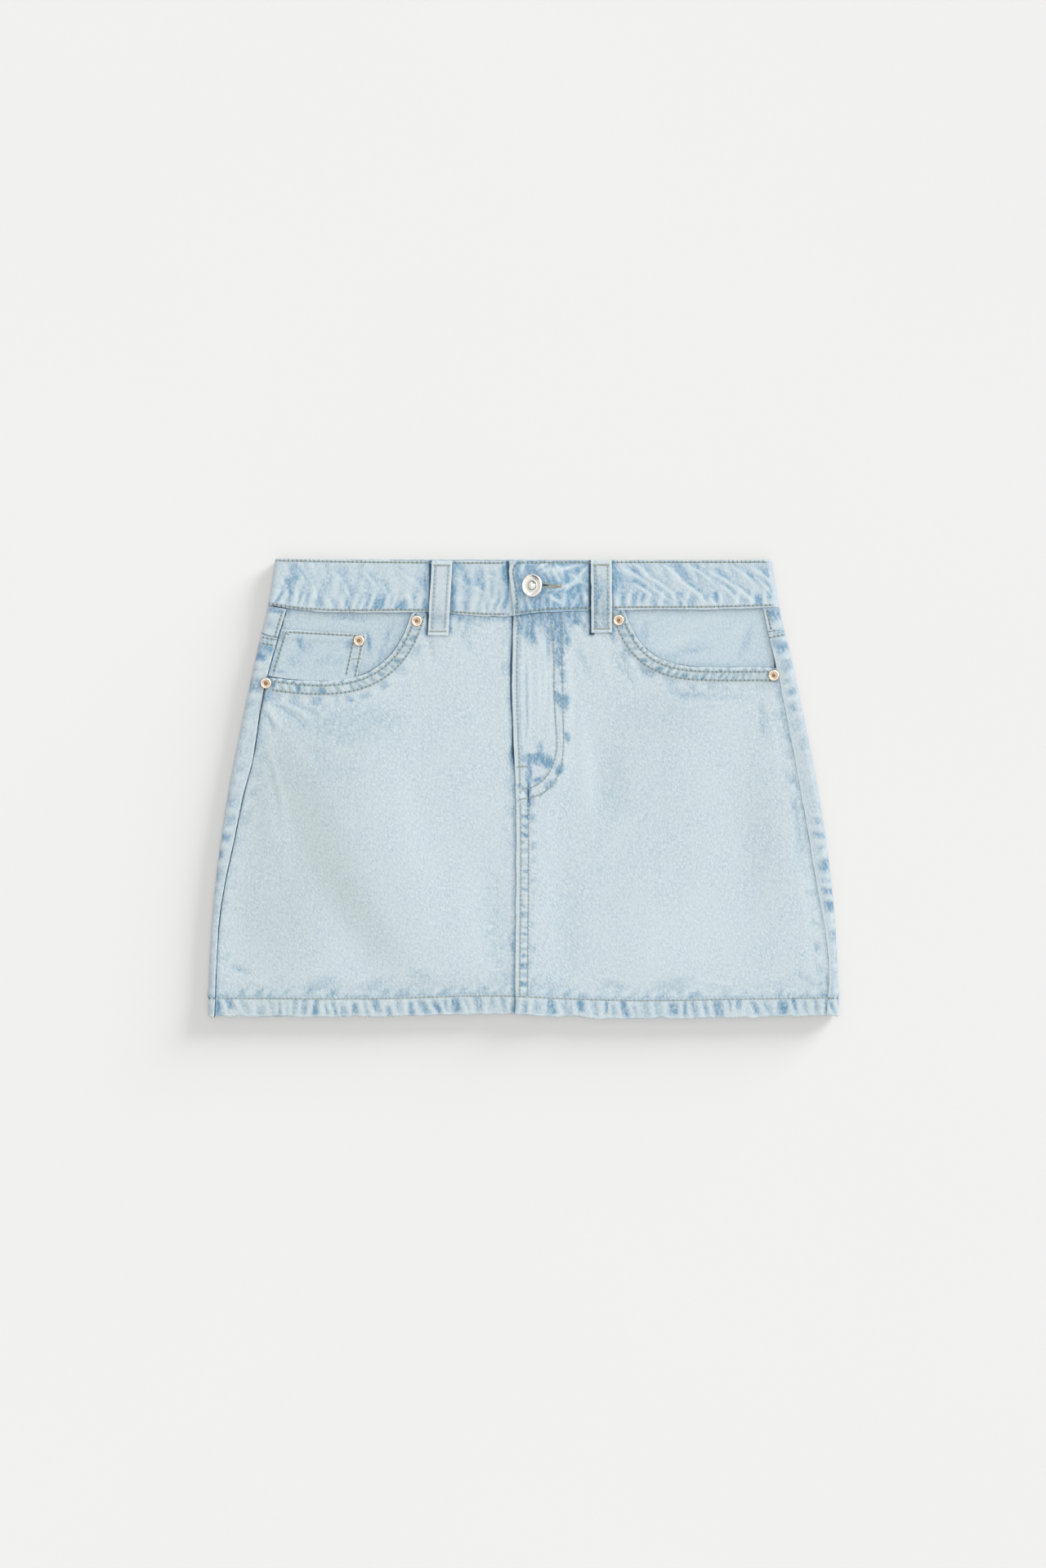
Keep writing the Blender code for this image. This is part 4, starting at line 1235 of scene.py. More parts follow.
under_band_fan(right, -0.086, -0.012, 111)
under_band_fan(left, -0.004, 0.077, 112)
# Below the waistband's edge: a painted shadow, darker under the tab, and a soft bluer painted shade further
# down.
for cloth in fronts.values():
    depth = band_low(cloth.x) - cloth.y
    under_tab = window(cloth.x, -0.01, 0.05, 0.003)
    cloth.deep += fade(0.0003, 0.0011, depth) * (0.08 + 0.3 * under_tab)
    cloth.blue += fade(0.0012, 0.006, depth) * 0.55
# Beside each loop above its foot: a bluer band, partly unworn dye and partly painted shade, and a painted
# shadow, dark on the loop's left and faint on its right.
for centre in (-0.0655, 0.0603):
    cloth = fronts["right" if centre < 0 else "left"]
    foot = 0.118
    away = np.abs(cloth.x - centre) - LOOP_WIDTH / 2
    near_loop = window(away, -0.002, 0.0022, 0.0012) * soft_step(foot - 0.002, foot + 0.003, cloth.y)
    cloth.blue += near_loop * 0.9
    shaded = soft_step(foot - 0.001, foot + 0.001, cloth.y) * 0.9 * np.where(cloth.x < centre, 1.0, 0.4)
    cloth.deep += window(away, -0.003, 0.0015, 0.0009) * shaded
# Broad areas that the wash left bluer or paler, and broad painted shade over the folds in the grey column
areas = each(smudge, right, """
x y wide tall turn blue pale grey
-133 52 42 17 0 0.2 0 0.05
-150 20 42 36 0 0.05 0 0.18
-156 -35 20 70 28 0 0 0.68
-123 -105 16 50 38 0 0 0.46
-200 0 16 50 -12 0.03 0 0.35
-85 -65 30 50 20 0 0.15 0
-190 -90 35 65 0 0 0 0.5
""")
areas += each(smudge, left, """
x y wide tall turn blue pale grey
120 -115 60 33 10 0 0.32 0
105 56 40 20 0 0.08 0 0.1
70 8 16 38 0 0 0 0.12
45 25 9 42 0 0 0.25 0
185 -20 20 60 8 0.02 0 0.15
30 -130 15 30 0 0.06 0 0
""")
print("broad areas:", areas)

# %% [markdown]
# ## Coin pocket and yokes
# The coin pocket's rows show its construction: a hemmed top, a double row down its inner edge and one row
# beside the side seam. On the side strips the yoke's seam ends with a narrow band of stitching.

# %% Coin pocket
COIN_ROWS = (0.0022, 0.0092)
COIN_TACK_HEIGHT = 0.1002
coin_inner = np.array([COIN_FOOT_INNER, COIN_TOP_INNER])
coin_depth = beside(between((-0.19, 0.122862), COIN_TOP_INNER), coin.x, coin.y)[1]
went, inward = beside(coin_inner, coin.x, coin.y)
coin.pale += fade(0.0008, 0.002, np.abs(coin_depth)) * 0.45 + fade(0.0006, 0.0016, inward) * 0.3
for distance in COIN_ROWS:
    stitch_row(coin, offset(coin_inner, distance)[::-1] + np.array((0, 0.0002)))
stitch_row(coin, between((-0.18, 0.1205), (-0.1245, 0.1176)))
stitch_row(coin, between((-0.1835, 0.1195), (-0.1925, 0.0905)))
seam_gap = np.abs(seam_at("right", coin.y)) - np.abs(coin.x)
# A dark line of painted shadow beside the side seam, as beside the seam on the front.
coin.deep += fade(0.0006, 0.0014, seam_gap) * 0.8
coin.blue += window(seam_gap, 0.001, 0.005) * 0.45
coin.grey += 0.16
each(smudge, coin, """
x y wide tall turn blue
-171.5 112 2.8 6 15 0.75
-165 109 2 4 0 0.35
-134.5 111 2.8 4.5 -20 0.6
-178 97.5 3 4 40 0.45
-154 98.5 9 4.5 10 0.22
-140 99 6 3 35 0.3
-130 93 3 4 0 0.5
-188 90 4.5 2 0 0.55
""")
each(crease, coin, """
x y to_x to_y half_width height bend blue pale
-150 88 -134 104 2 0.3 0.04 0 0.25
-174 90 -169 114 2 -0.24 0.04 0.25 0
""")
print("coin pocket rows:", COIN_ROWS)

# %% Pocket facings
# A painted shadow, blue and dark, to the right of the coin pocket's inner edge.
smudge(facings["right"], -0.119, 0.112, 0.0024, 0.009, 8, blue=0.7, deep=0.25)
creased = each(crease, facings["right"], """
x y to_x to_y half_width height bend blue pale
-112 96 -98 130 2.6 -0.26 0.05 0.4 0
-170 127 -110 123 2.6 0.2 0.05 0 0.25
-150 132 -120 129 2.6 -0.18 0.05 0.4 0
-106 90 -96 105 2.6 0.24 0.05 0 0.25
""")
creased += each(crease, facings["left"], """
x y to_x to_y half_width height bend blue pale
108 100 148 108 3 -0.26 0.05 0.45 0
98 105 135 117 3 0.22 0.05 0 0.25
175 129 164 96 3 -0.34 0.05 0.45 0
155 118 175 124 3 0.2 0.05 0 0.25
94 130 92 112 3 -0.26 0.05 0.45 0
120 123 156 130 3 0.2 0.05 0 0.25
""")
for side, facing in facings.items():
    inside = np.abs(seam_at(side, facing.y)) - np.abs(facing.x)
    # A dark line of painted shadow beside the side seam, strong on the wearer's right and faint on the left.
    facing.deep += fade(0.0004, 0.0012, inside) * (0.8 if side == "right" else 0.15)
    facing.grey += 0.14 if side == "right" else 0.0
    facing.pale += 0.0 if side == "right" else 0.16
    facing.blue += window(inside, 0.0008, 0.004) * 0.25
print("creases of the facings:", creased)

# %% Yokes on the side strips
YOKE_BAND_ROWS = (0.0016, 0.0062)
for side in SIGN:
    sign, back, yoke = SIGN[side], backs[side], yokes[side]
    level = YOKE_ON_STRIP[side]
    to_seam = yoke_seam(side)[None, :] - back.y
    strip = back.shown
    back.pale += window(to_seam, 0.0, 0.0065, 0.0006) * 0.35 * strip
    back.blue += window(to_seam, 0.0072, 0.0135, 0.0015) * 0.75 * strip
    yoke.blue += window(band_low(yoke.x) - yoke.y, -0.002, 0.0048, 0.0015) * 0.55 * yoke.shown
    for cloth in (back, yoke):
        from_seam = np.abs(cloth.y - yoke_seam(side)[None, :])
        cloth.deep += fade(0.0003, 0.001, from_seam) * (0.6 if side == "right" else 0.15)
    inner = float(seam_at(side, level)) + sign * 0.0016
    outer = sign * (float(fold_at(level)) - 0.0012)
    for distance in YOKE_BAND_ROWS:
        stitch_row(back, between((inner, level - distance), (outer, level + 0.002 - distance)), where=strip)
    beside_seam = seam_path(side, level + 0.001, 0.1385, outward=0.0026)
    stitch_row(yoke, beside_seam, where=yoke.shown)
    hem_x = np.linspace(float(seam_at(side, -0.162)) + sign * 0.0008, sign * 0.2424, 8)
    stitch_row(back, plan(hem_x, -0.1618), where=strip)
print("yoke rows:", YOKE_BAND_ROWS)

# %% [markdown]
# ## Waistband wear
# The band is the most handled part, so it is mottled all over: upright blotches on the wearer's right, long
# slanting creases on the left, strong blue round the button, and a scalloped line of puckers above its seam.

# %% Waistband wear
BAND_ROWS = (0.0019, 0.0016)  # how far inside the band's lower and upper edge


def band_path(low_x, high_x, from_low=None, from_high=None, steps=80):
    x = np.linspace(low_x, high_x, steps)
    return plan(x, band_low(x) + from_low if from_high is None else band_high(x) - from_high)


front_band = band.shown
under_lap = (~band.outer_lap) & (band.x > -0.0105) & (band.z > BAND_FOLD)
showing = front_band * ~under_lap
from_low, from_high = band.y - band_low(band.x), band_high(band.x) - band.y
band.pale += fade(0.0005, 0.0015, from_low) * 0.45 * showing
band.pale += fade(0.0004, 0.0012, from_high) * 0.12 * showing
for end, *values, where in (
    (0.198, 0.0022, 0.014, 0.0084, 0.00056, 1.25, 1.2, 121, 0.1, 0.22, 0.9, showing),
    (0.198, 0.023, 0.039, 0.0115, 0.00034, 0.8, 0.6, 122, -0.35, 0.26, 0.62, showing),
    (-0.01, 0.01, 0.027, 0.011, 0.00034, 0.8, 0.7, 123, 0.1, 0.26, 0.62, showing * (band.x < -0.01)),
):
    puckers(band, band_path(-0.198, end, from_low=0.0), *values, where=where)
tab_part = showing * soft_step(-0.012, -0.009, band.x) * fade(0.048, 0.056, band.x)
band.blue += 1.08 * tab_part * soft_step(0.0, 0.003, band.x + 0.0075)
band.grey += 0.12 * showing * soft_step(0.01, -0.01, band.x)
print("waistband puckered over", round(float(np.ptp(band.x)), 3), "m")

# %% Slanting creases of the waistband, each with its trough beside it
BAND_CREASES = """
x y length turn height
74.5 170 20 -32 0.34
80 159 18 -30 0.34
90 166 24 -34 0.4
96 156 16 -36 0.3
106 173 18 -40 0.34
113 162 22 -30 0.4
125 156 16 -42 0.34
127 172 20 -38 0.36
139.5 168.8 30 -34 0.44
150 158 18 -44 0.32
159 172 22 -40 0.36
164 156 14 -46 0.3
171 172.6 24 -38 0.4
180 162 15 -50 0.3
84 174 12 -40 0.28
118 150 12 -55 0.28
142 148 12 -60 0.26
-188 164 12 -70 0.28
-176 170 14 -60 0.3
-164 160 12 -75 0.28
-150 169 14 -45 0.3
-140 158 12 -65 0.26
-125 168 14 -50 0.3
-112 160 12 -60 0.26
-100 170 13 -40 0.28
-86 162 14 -55 0.3
-53 164 12 -50 0.3
-44 157 14 -28 0.26
-30 164 12 -20 0.24
"""


def slanting(cloth, x, y, length, turn, height, pale, blue, where):
    run = np.array((math.cos(math.radians(turn)), math.sin(math.radians(turn))))
    start, side = np.array((x, y)), np.array((-run[1], run[0])) * 0.0024
    run = run * length * 1.4
    crease(cloth, *start, *(start + run), 0.0011, height * 1.15, 0.05, pale=pale, where=where)
    start = start + side
    crease(cloth, *start, *(start + run * 0.9), 0.0019, -height * 0.6, 0.05, blue=blue, where=where)


on_left, on_right = showing * soft_step(-0.03, 0.03, band.x), showing * soft_step(0.03, -0.03, band.x)
creased = each(slanting, band, BAND_CREASES, where=on_left, pale=1.25, blue=0.6)
each(slanting, band, BAND_CREASES, where=on_right, pale=0.7, blue=0.45)
creased += each(slanting, band, """
x y length turn height
9 168 13 28 0.4
11 165.5 16 12 0.36
12 174 12 -55 0.34
17 173 14 -52 0.34
20 164 20 18 0.36
24 174 11 -60 0.3
15 150 14 -30 0.34
22 151 18 20 0.34
30 150 16 40 0.3
34 166 14 -35 0.3
39 158 13 50 0.3
2 145 12 60 0.3
-2 165 10 70 0.28
44 156 12 -65 0.28
""", where=tab_part, pale=1.2, blue=0.45)
each(smudge, band, """
x y wide tall turn blue
83 157 20 7.5 -20 0.5
142 162 18 9 -20 0.25
185 163 6 9 -20 0.35
-125 150 30 8 -20 0.15
-40 156 20 10 -20 0.15
""", where=showing)
each(smudge, band, """
x y wide tall turn deep
13 146 11 5 10 0.19
30 164 11 5 10 0.19
41 148 7 9 10 0.19
11 169 8 3.5 10 0.19
24 154 16 6 10 0.19
""", where=tab_part)
print("waistband creases:", creased)

# %% Buttonhole, edges and rows of the waistband
HOLE = ((0.0138, 0.1567), (0.0294, 0.1556))
HOLE_HALF_WIDTH = (0.0023, 0.0009)
HOLE_EDGING = 0.0012
TAB_HEIGHT = 0.0405
went, gap = beside(between(*HOLE), band.x, band.y, reach=0.006)
slot = HOLE_HALF_WIDTH[0] - HOLE_EDGING - 0.0011 * went / 0.01
# The buttonhole's slit is painted dark: painted shade in the opening.
band.deep += fade(-0.0002, 0.0005, np.abs(gap) - slot) * 1.0 * band.outer_lap * (went > 0)
band.blue += window(np.abs(gap), -0.001, 0.0034, 0.0012) * 0.6 * band.outer_lap
# Round each loop: a bluer band, partly unworn dye and partly painted shade, and a painted shadow beside it,
# dark on the loop's left and faint on its right.
for centre in (FRONT_LOOPS["right"][0] - 0.0006, FRONT_LOOPS["left"][0]):
    away = np.abs(band.x - centre) - LOOP_WIDTH / 2
    band.blue += window(away, -0.004, 0.0045, 0.0025) * 0.95 * showing
    shaded = np.where(band.x < centre, 1.0, 0.4)
    band.deep += window(away, -0.004, 0.0016, 0.0009) * 0.95 * showing * shaded
tab_edge = band.x - (TAB_END[0] + (TAB_END[1] - TAB_END[0]) * np.clip(from_low / TAB_HEIGHT, 0, 1))
band.pale += fade(0.0006, 0.0017, tab_edge) * 0.7 * (tab_edge > -0.0005) * band.outer_lap
# On the band left of the tab's end: a painted shadow of the tab, and a bluer painted shade beside it.
beside_tab = np.where(band.outer_lap, 1.0, -tab_edge)
band.deep += window(beside_tab, -0.004, 0.0019, 0.001) * showing * 0.95
band.blue += window(beside_tab, -0.004, 0.005, 0.002) * showing * 0.7

for path in (
    band_path(-0.1965, -0.0135, from_low=BAND_ROWS[0]), band_path(-0.1945, -0.015, from_high=BAND_ROWS[1]),
):
    stitch_row(band, path, where=showing * ~band.outer_lap)
TAB_ROW = 0.0036
tab_low, tab_high = (TAB_END[0] + TAB_ROW, 0.1356), (TAB_END[1] + TAB_ROW + 0.0003, 0.1722)
on_lap = band.outer_lap * showing
stitch_row(band, band_path(tab_low[0], 0.1965, from_low=BAND_ROWS[0] + 0.0004), where=on_lap)
stitch_row(band, band_path(tab_high[0] + 0.004, 0.194, from_high=BAND_ROWS[1]), where=on_lap)
x = tab_high[0]
tab_turn = [tab_low, ((tab_low[0] + x) / 2, 0.154), (x, 0.17), (x + 0.0012, 0.1728), (x + 0.004, 0.1739)]
stitch_row(band, smooth_path(tab_turn), where=on_lap)
print("rows so far:", len(SEWN))

# %% [markdown]
# ## Belt loop wear
# Loops stand proud and are rubbed pale along both edges and at their ends, where a bar tack holds them.

# %% Belt loops
LOOP_ROW = 0.0051
for side, loop in front_loops.items():
    rim = LOOP_WIDTH / 2 - np.abs(loop.side)
    loop.pale += fade(0.0008, 0.0024, rim) * 0.6
    loop.blue += window(rim, 0.0018, 0.0044, 0.001) * np.where(loop.side < 0, 0.55, 0.25)
    loop.pale += np.maximum(fade(0.02, 0.07, loop.share), soft_step(0.9, 0.96, loop.share)) * 0.7
    if side == "left":
        loop.blue += 0.46 * soft_step(0.1, 0.6, loop.share) * soft_step(0.001, 0.003, rim)
        smudge(loop, 0.058, 0.154, 0.003, 0.008, blue=0.5)
    else:
        smudge(loop, -0.065, 0.132, 0.004, 0.008, blue=0.4)
        loop.pale += 0.12
    top_x, foot_x, foot_y = FRONT_LOOPS[side]
    top_y = float(band_high(top_x))
    for aside in (-LOOP_ROW, LOOP_ROW):
        ends = (top_x + aside, top_y - 0.0052), (foot_x + aside, foot_y + 0.0046)
        stitch_row(loop, between(*ends), where=0.45)
for side, loop in back_loops.items():
    centre, top = BACK_LOOPS[side], float(back_band_high(BACK_LOOPS[side]))
    rim = LOOP_WIDTH / 2 - np.abs(loop.side)
    loop.pale += fade(0.0006, 0.0018, rim) * 0.8
    loop.blue += 0.25
    for aside in (-LOOP_ROW, LOOP_ROW):
        ends = (centre + aside, top - 0.005), (centre + aside, top - BACK_LOOP_LENGTH + 0.005)
        stitch_row(loop, between(*ends), under=True)
print("loop rows:", LOOP_ROW, "m from the middle")

# %% [markdown]
# ## The underside
# The back rests flat on the table, so it stays flat, but it has the same sewing: a yoke seam and a centre
# seam with two rows each, the hem, and the band's rows. The cloth is lifted a fifth of a millimetre between
# them, which leaves room for the thread above the table.

# %% Underside
UNDER_LIFT = 0.0002
BACK_ROWS = (0.002, 0.008)
# Creases pressed into the back
BACK_CREASES = {"right": """
x y to_x to_y half_width blue pale
-26 76 -40 -40 4.2 0.26 0
-88 96 -99 -25 5.2 0.22 0
-112 90 -122 -20 3.4 0 0.4
-160 100 -140 35 2.8 0.34 0
-165 20 -200 -115 5 0.22 0
-62 -45 -56 -150 4 0 0.36
-134 -50 -148 -148 4.6 0.2 0
""", "left": """
x y to_x to_y half_width blue pale
34 70 28 -30 3.8 0.24 0
74 98 96 10 4.8 0.24 0
130 105 118 5 3.6 0 0.38
152 100 170 25 3 0.32 0
156 -10 178 -135 5.4 0.22 0
54 -70 66 -154 3.6 0.26 0
104 -35 110 -140 4.2 0 0.34
"""}


def flat_part(cloth):
    """1 where the cloth lies on the table."""
    return fade(0.0003, 0.0012, cloth.z)


def below_row(cloth, path):
    """A row of topstitching on the side that lies on the table."""
    stitch_row(cloth, path, where=flat_part(cloth), under=True, groove=0)


for number, side in enumerate(SIGN):
    sign, back, yoke = SIGN[side], backs[side], yokes[side]
    for cloth in (back, yoke):
        flat = flat_part(cloth)
        cloth.relief -= UNDER_LIFT * flat
        cloth.blue += 0.18 * flat
        seam = sign * cloth.x
        cloth.blue += window(seam, 0.001, 0.0085) * 0.35 * flat
        cloth.pale += fade(0.0006, 0.002, seam) * 0.6 * flat
    flat = flat_part(back)
    dress_hem(back, 131 + number * 10, where=flat * 0.7)
    back.relief *= np.where(flat > 0.5, 0, 1)
    back.relief -= UNDER_LIFT * flat
    each(crease, back, BACK_CREASES[side], height=-0.00035, bend=0.04, where=flat)
    centre_seam = between((sign * 0.005, -0.16), (sign * 0.005, 0.08))
    puckers(back, centre_seam, -0.003, 0.003, 0.008, 0.0, 0.6, 0.4, 135 + number, where=flat)
    top = yoke_seam(side)
    x = back.x[-1]
    path = plan(x, top)[(np.abs(x) > 0.004) & (np.arange(len(x)) < FOLD_START)][::2]
    for distance in BACK_ROWS:
        below_row(back, path - np.array((0, distance)))
        if side == "left":
            below_row(back, [(distance, -0.16), (distance, 0.083 - distance)])
            below_row(yoke, [(distance, 0.087), (distance, 0.1375)])
    hem_row = hem_path(HEM_ROW, side)
    x = hem_row[:, 0] * sign
    below_row(back, hem_row[(x > 0.0008) & (x < 0.2375)])
flat_band = flat_part(band)
band.relief -= UNDER_LIFT * flat_band
band.blue += 0.35 * flat_band
x = np.linspace(-0.186, 0.186, 90)
for path in (plan(x, back_band_low(x) + BAND_ROWS[0]), plan(x, back_band_high(x) - BAND_ROWS[1])):
    below_row(band, path)
print("rows to sew:", len(SEWN))

# %% [markdown]
# ## From grid to mesh
# The relief moves the outer grid along its normals. The inner grid follows only where the cloth stands up, so
# that it never sinks into what lies below. Rings of points round the edge join both into a closed shell.


# %% Edges and faces of a grid
RIM_RINGS = 3
DEEPEST = 0.7  # of the wall: how far a hollow may go down into the cloth


def perimeter(rows, columns):
    """Indices round a grid's edge, counter-clockwise."""
    index = np.arange(rows * columns).reshape(rows, columns)
    return np.concatenate([index[0, :-1], index[:-1, -1], index[-1, :0:-1], index[:0:-1, 0]])


def grid_quads(rows, columns):
    index = np.arange(rows * columns).reshape(rows, columns)
    return np.stack([index[:-1, :-1], index[:-1, 1:], index[1:, 1:], index[1:, :-1]], -1).reshape(-1, 4)


def edge_outward(face):
    """Directions away from the piece at its edge points."""
    outward = np.zeros(face.shape)
    outward[0] += face[0] - face[1]
    outward[-1] += face[-1] - face[-2]
    outward[:, 0] += face[:, 0] - face[:, 1]
    outward[:, -1] += face[:, -1] - face[:, -2]
    return outward / np.maximum(np.linalg.norm(outward, axis=-1, keepdims=True), 1e-12)


print("points round a grid of 3 by 4:", len(perimeter(3, 4)))


# %% Closed shells
def shell_mesh(cloth, material):
    normal = cloth.normals()
    deepest = cloth.wall * DEEPEST
    relief = np.where(cloth.relief < 0, deepest * np.tanh(cloth.relief / deepest), cloth.relief)
    outer = cloth.face + normal * relief[..., None]
    inner = cloth.face + normal * (np.maximum(relief, 0) - cloth.wall)[..., None]
    rows, columns = cloth.x.shape
    ring = perimeter(rows, columns)
    top, bottom = outer.reshape(-1, 3)[ring], inner.reshape(-1, 3)[ring]
    away = edge_outward(cloth.face).reshape(-1, 3)[ring] * cloth.bulge.ravel()[ring][:, None]
    middle, half = (top + bottom) / 2, (top - bottom) / 2
    angles = np.linspace(0, math.pi, RIM_RINGS + 2)[1:-1]
    rim = [middle + half * math.cos(a) + away * math.sin(a) for a in angles]
    points = np.concatenate([outer.reshape(-1, 3), inner.reshape(-1, 3), *rim])

    count = rows * columns
    quads = grid_quads(rows, columns)
    rim_index = np.arange(RIM_RINGS * len(ring)).reshape(RIM_RINGS, -1) + 2 * count
    loops = [ring, *rim_index, ring + count]
    sides = [np.stack([a, b, np.roll(b, -1), np.roll(a, -1)], -1) for a, b in zip(loops, loops[1:])]
    faces = np.concatenate([quads, quads[:, ::-1] + count, *sides])
    if cloth.flip:
        faces = faces[:, ::-1]
    mesh = make_mesh(cloth.name, points, faces.tolist(), material)

    def spread_over(values, inner_values=None):
        flat = values.reshape(count, -1)
        inside = flat if inner_values is None else inner_values.reshape(count, -1)
        return np.concatenate([flat, inside, *[flat[ring]] * RIM_RINGS]).astype(np.float32)

    paint = np.stack([cloth.pale, cloth.blue, cloth.deep], -1)
    lay = np.concatenate([cloth.grain, np.zeros((rows, columns, 1))], -1)
    lay_inside = np.concatenate([cloth.grain, np.ones((rows, columns, 1))], -1)
    masks = {
        "paint": spread_over(np.clip(paint, 0, 1), paint * 0.3),
        "grain": spread_over(lay, lay_inside),
        "row": spread_over(cloth.row, cloth.row * 0),
    }
    for name, values in masks.items():
        mesh.attributes.new(name, "FLOAT_VECTOR", "POINT").data.foreach_set("vector", values.ravel())
    mesh.attributes.new("grey", "FLOAT", "POINT").data.foreach_set("value", spread_over(cloth.grey).ravel())
    cloth.tree = BVHTree.FromPolygons(points.tolist(), faces.tolist())
    return mesh


def make_mesh(name, points, faces, material):
    mesh = bpy.data.meshes.new(name)
    mesh.from_pydata(np.asarray(points).tolist(), [], faces)
    mesh.shade_smooth()
    mesh.materials.append(material)
    return mesh


def put(name, mesh, slot, *nodes):
    """Adds a piece that rides on the skirt and stands for the given nodes, which it hides. Its slot is not
    used.
    """
    piece = bpy.data.objects.new(name, mesh)
    bpy.context.scene.collection.objects.link(piece)
    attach(piece, "root")
    if nodes:
        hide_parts(*nodes)
    return piece


print("points for each edge point of a shell:", 2 + RIM_RINGS)

# %% [markdown]
# ## Finishes
# Washed denim is a twill: blue warp threads run up the panel over pale weft, in fine slanting ribs. Seen from
# a step away that becomes a fleck, with uneven slubs along the warp. The groups below make the weave, the
# washed colour and the needle holes once, and each denim uses them with its own colours.


# %% Helpers for nodes
def add(tree, kind, inputs=(), **settings):
    """Adds a node, sets its values and joins the sockets it is given."""
    made = tree.nodes.new(kind)
    made.location = (190 * (len(tree.nodes) % 12), -220 * (len(tree.nodes) // 12))
    for name, value in settings.items():
        setattr(made, name, value)
    for key, value in dict(inputs).items():
        if isinstance(value, bpy.types.NodeSocket):
            tree.links.new(value, made.inputs[key])
        else:
            made.inputs[key].default_value = value
    return made


def calc(tree, operation, *values, clamp=False):
    node = add(tree, "ShaderNodeMath", enumerate(values), operation=operation, use_clamp=clamp)
    return node.outputs["Value"]


def step_node(tree, value, low, high, to_low=0.0, to_high=1.0):
    sockets = {"Value": value, "From Min": low, "From Max": high, "To Min": to_low, "To Max": to_high}
    return add(tree, "ShaderNodeMapRange", sockets, interpolation_type="SMOOTHSTEP").outputs["Result"]


def blend(tree, factor, a, b, mode="MIX"):
    settings = {"data_type": "RGBA", "blend_type": mode, "clamp_factor": True}
    return add(tree, "ShaderNodeMix", {0: factor, 6: a, 7: b}, **settings).outputs[2]


def noise(tree, vector, scale, detail=2.0, roughness=0.5):
    """Noise with its own scale in each direction, in features for each metre."""
    scaled = add(tree, "ShaderNodeVectorMath", {0: vector, 1: scale}, operation="MULTIPLY").outputs["Vector"]
    sockets = {"Vector": scaled, "Scale": 1.0, "Detail": detail, "Roughness": roughness}
    return add(tree, "ShaderNodeTexNoise", sockets).outputs["Fac"]


def group(name, inputs, outputs):
    """A node group with named sockets. Returns its tree, its inputs and its output node."""
    tree = bpy.data.node_groups.new(name, "ShaderNodeTree")
    for label, kind in inputs.items():
        tree.interface.new_socket(label, in_out="INPUT", socket_type=kind)
    for label, kind in outputs.items():
        tree.interface.new_socket(label, in_out="OUTPUT", socket_type=kind)
    return tree, tree.nodes.new("NodeGroupInput").outputs, tree.nodes.new("NodeGroupOutput")


FLOAT, COLOUR, VECTOR = "NodeSocketFloat", "NodeSocketColor", "NodeSocketVector"
ALBEDO = 0.79  # of a colour read off a bright picture, under this light


def linear(hex_colour, share=ALBEDO):
    channels = [int(hex_colour[k:k + 2], 16) / 255 for k in (0, 2, 4)]
    channels = [c / 12.92 if c <= 0.04045 else ((c + 0.055) / 1.055) ** 2.4 for c in channels]
    return (*(c * share for c in channels), 1.0)


def finish(name, gloss):
    """A new material with its node tree and its shader."""
    material = bpy.data.materials.new(name)
    material.use_nodes = True
    shader = material.node_tree.nodes["Principled BSDF"]
    shader.inputs["Specular IOR Level"].default_value = gloss
    return material, material.node_tree, shader


def mask(tree, name, output="Fac"):
    return add(tree, "ShaderNodeAttribute", attribute_name=name).outputs[output]


def bump(tree, height, strength, distance):
    node = add(tree, "ShaderNodeBump", {"Strength": strength, "Distance": distance, "Height": height})
    tree.links.new(node.outputs["Normal"], tree.nodes["Principled BSDF"].inputs["Normal"])


print("white comes out as", round(linear("FFFFFF")[0], 2), "of the light")

# %% The twill weave
RIB_PITCH = 0.0012
RIB_TURN = math.radians(-62)
WARP_LEAN = 0.3  # how far the warp has drifted off upright

WEAVE = {"Height": FLOAT, "Fleck": FLOAT, "Cloud": FLOAT, "Break": FLOAT}
twill, given, result = group("twill", {"Grain": VECTOR}, WEAVE)
parts = add(twill, "ShaderNodeSeparateXYZ", {0: given["Grain"]})
lean_u = calc(twill, "MULTIPLY", parts.outputs["X"], math.sin(RIB_TURN) * 2 * math.pi / RIB_PITCH)
lean_v = calc(twill, "MULTIPLY", parts.outputs["Y"], -math.cos(RIB_TURN) * 2 * math.pi / RIB_PITCH)
wobble = calc(twill, "MULTIPLY", noise(twill, given["Grain"], (420, 300, 0)), 5.0)
rib = calc(twill, "SINE", calc(twill, "ADD", calc(twill, "ADD", lean_u, lean_v), wobble))
leaned_x = calc(twill, "MULTIPLY_ADD", parts.outputs["Y"], WARP_LEAN, parts.outputs["X"])
leaned = add(twill, "ShaderNodeCombineXYZ", {"X": leaned_x, "Y": parts.outputs["Y"]}).outputs["Vector"]
slub = noise(twill, leaned, (840, 370, 0), 2.0, 0.45)
crumb = noise(twill, leaned, (680, 540, 0), 2.0, 0.5)
crumple = noise(twill, given["Grain"], (230, 190, 0), 3.0, 0.6)
height = calc(twill, "MULTIPLY_ADD", rib, 0.035, calc(twill, "MULTIPLY", slub, 0.75))
rough = calc(twill, "MULTIPLY_ADD", crumb, 0.65, calc(twill, "MULTIPLY", crumple, 2.0))
height = calc(twill, "ADD", height, rough)
fleck = calc(twill, "MULTIPLY_ADD", slub, 0.6, calc(twill, "MULTIPLY", crumb, 0.6))
fleck = calc(twill, "MULTIPLY_ADD", rib, 0.014, fleck)
twill.links.new(height, result.inputs["Height"])
twill.links.new(step_node(twill, fleck, 0.36, 0.84), result.inputs["Fleck"])
twill.links.new(noise(twill, given["Grain"], (46, 30, 0), 3.0, 0.55), result.inputs["Cloud"])
streaks = noise(twill, given["Grain"], (330, 120, 0), 3.0, 0.55)
twill.links.new(step_node(twill, streaks, 0.22, 0.78), result.inputs["Break"])
print("ribs:", RIB_PITCH * 1000, "mm apart")

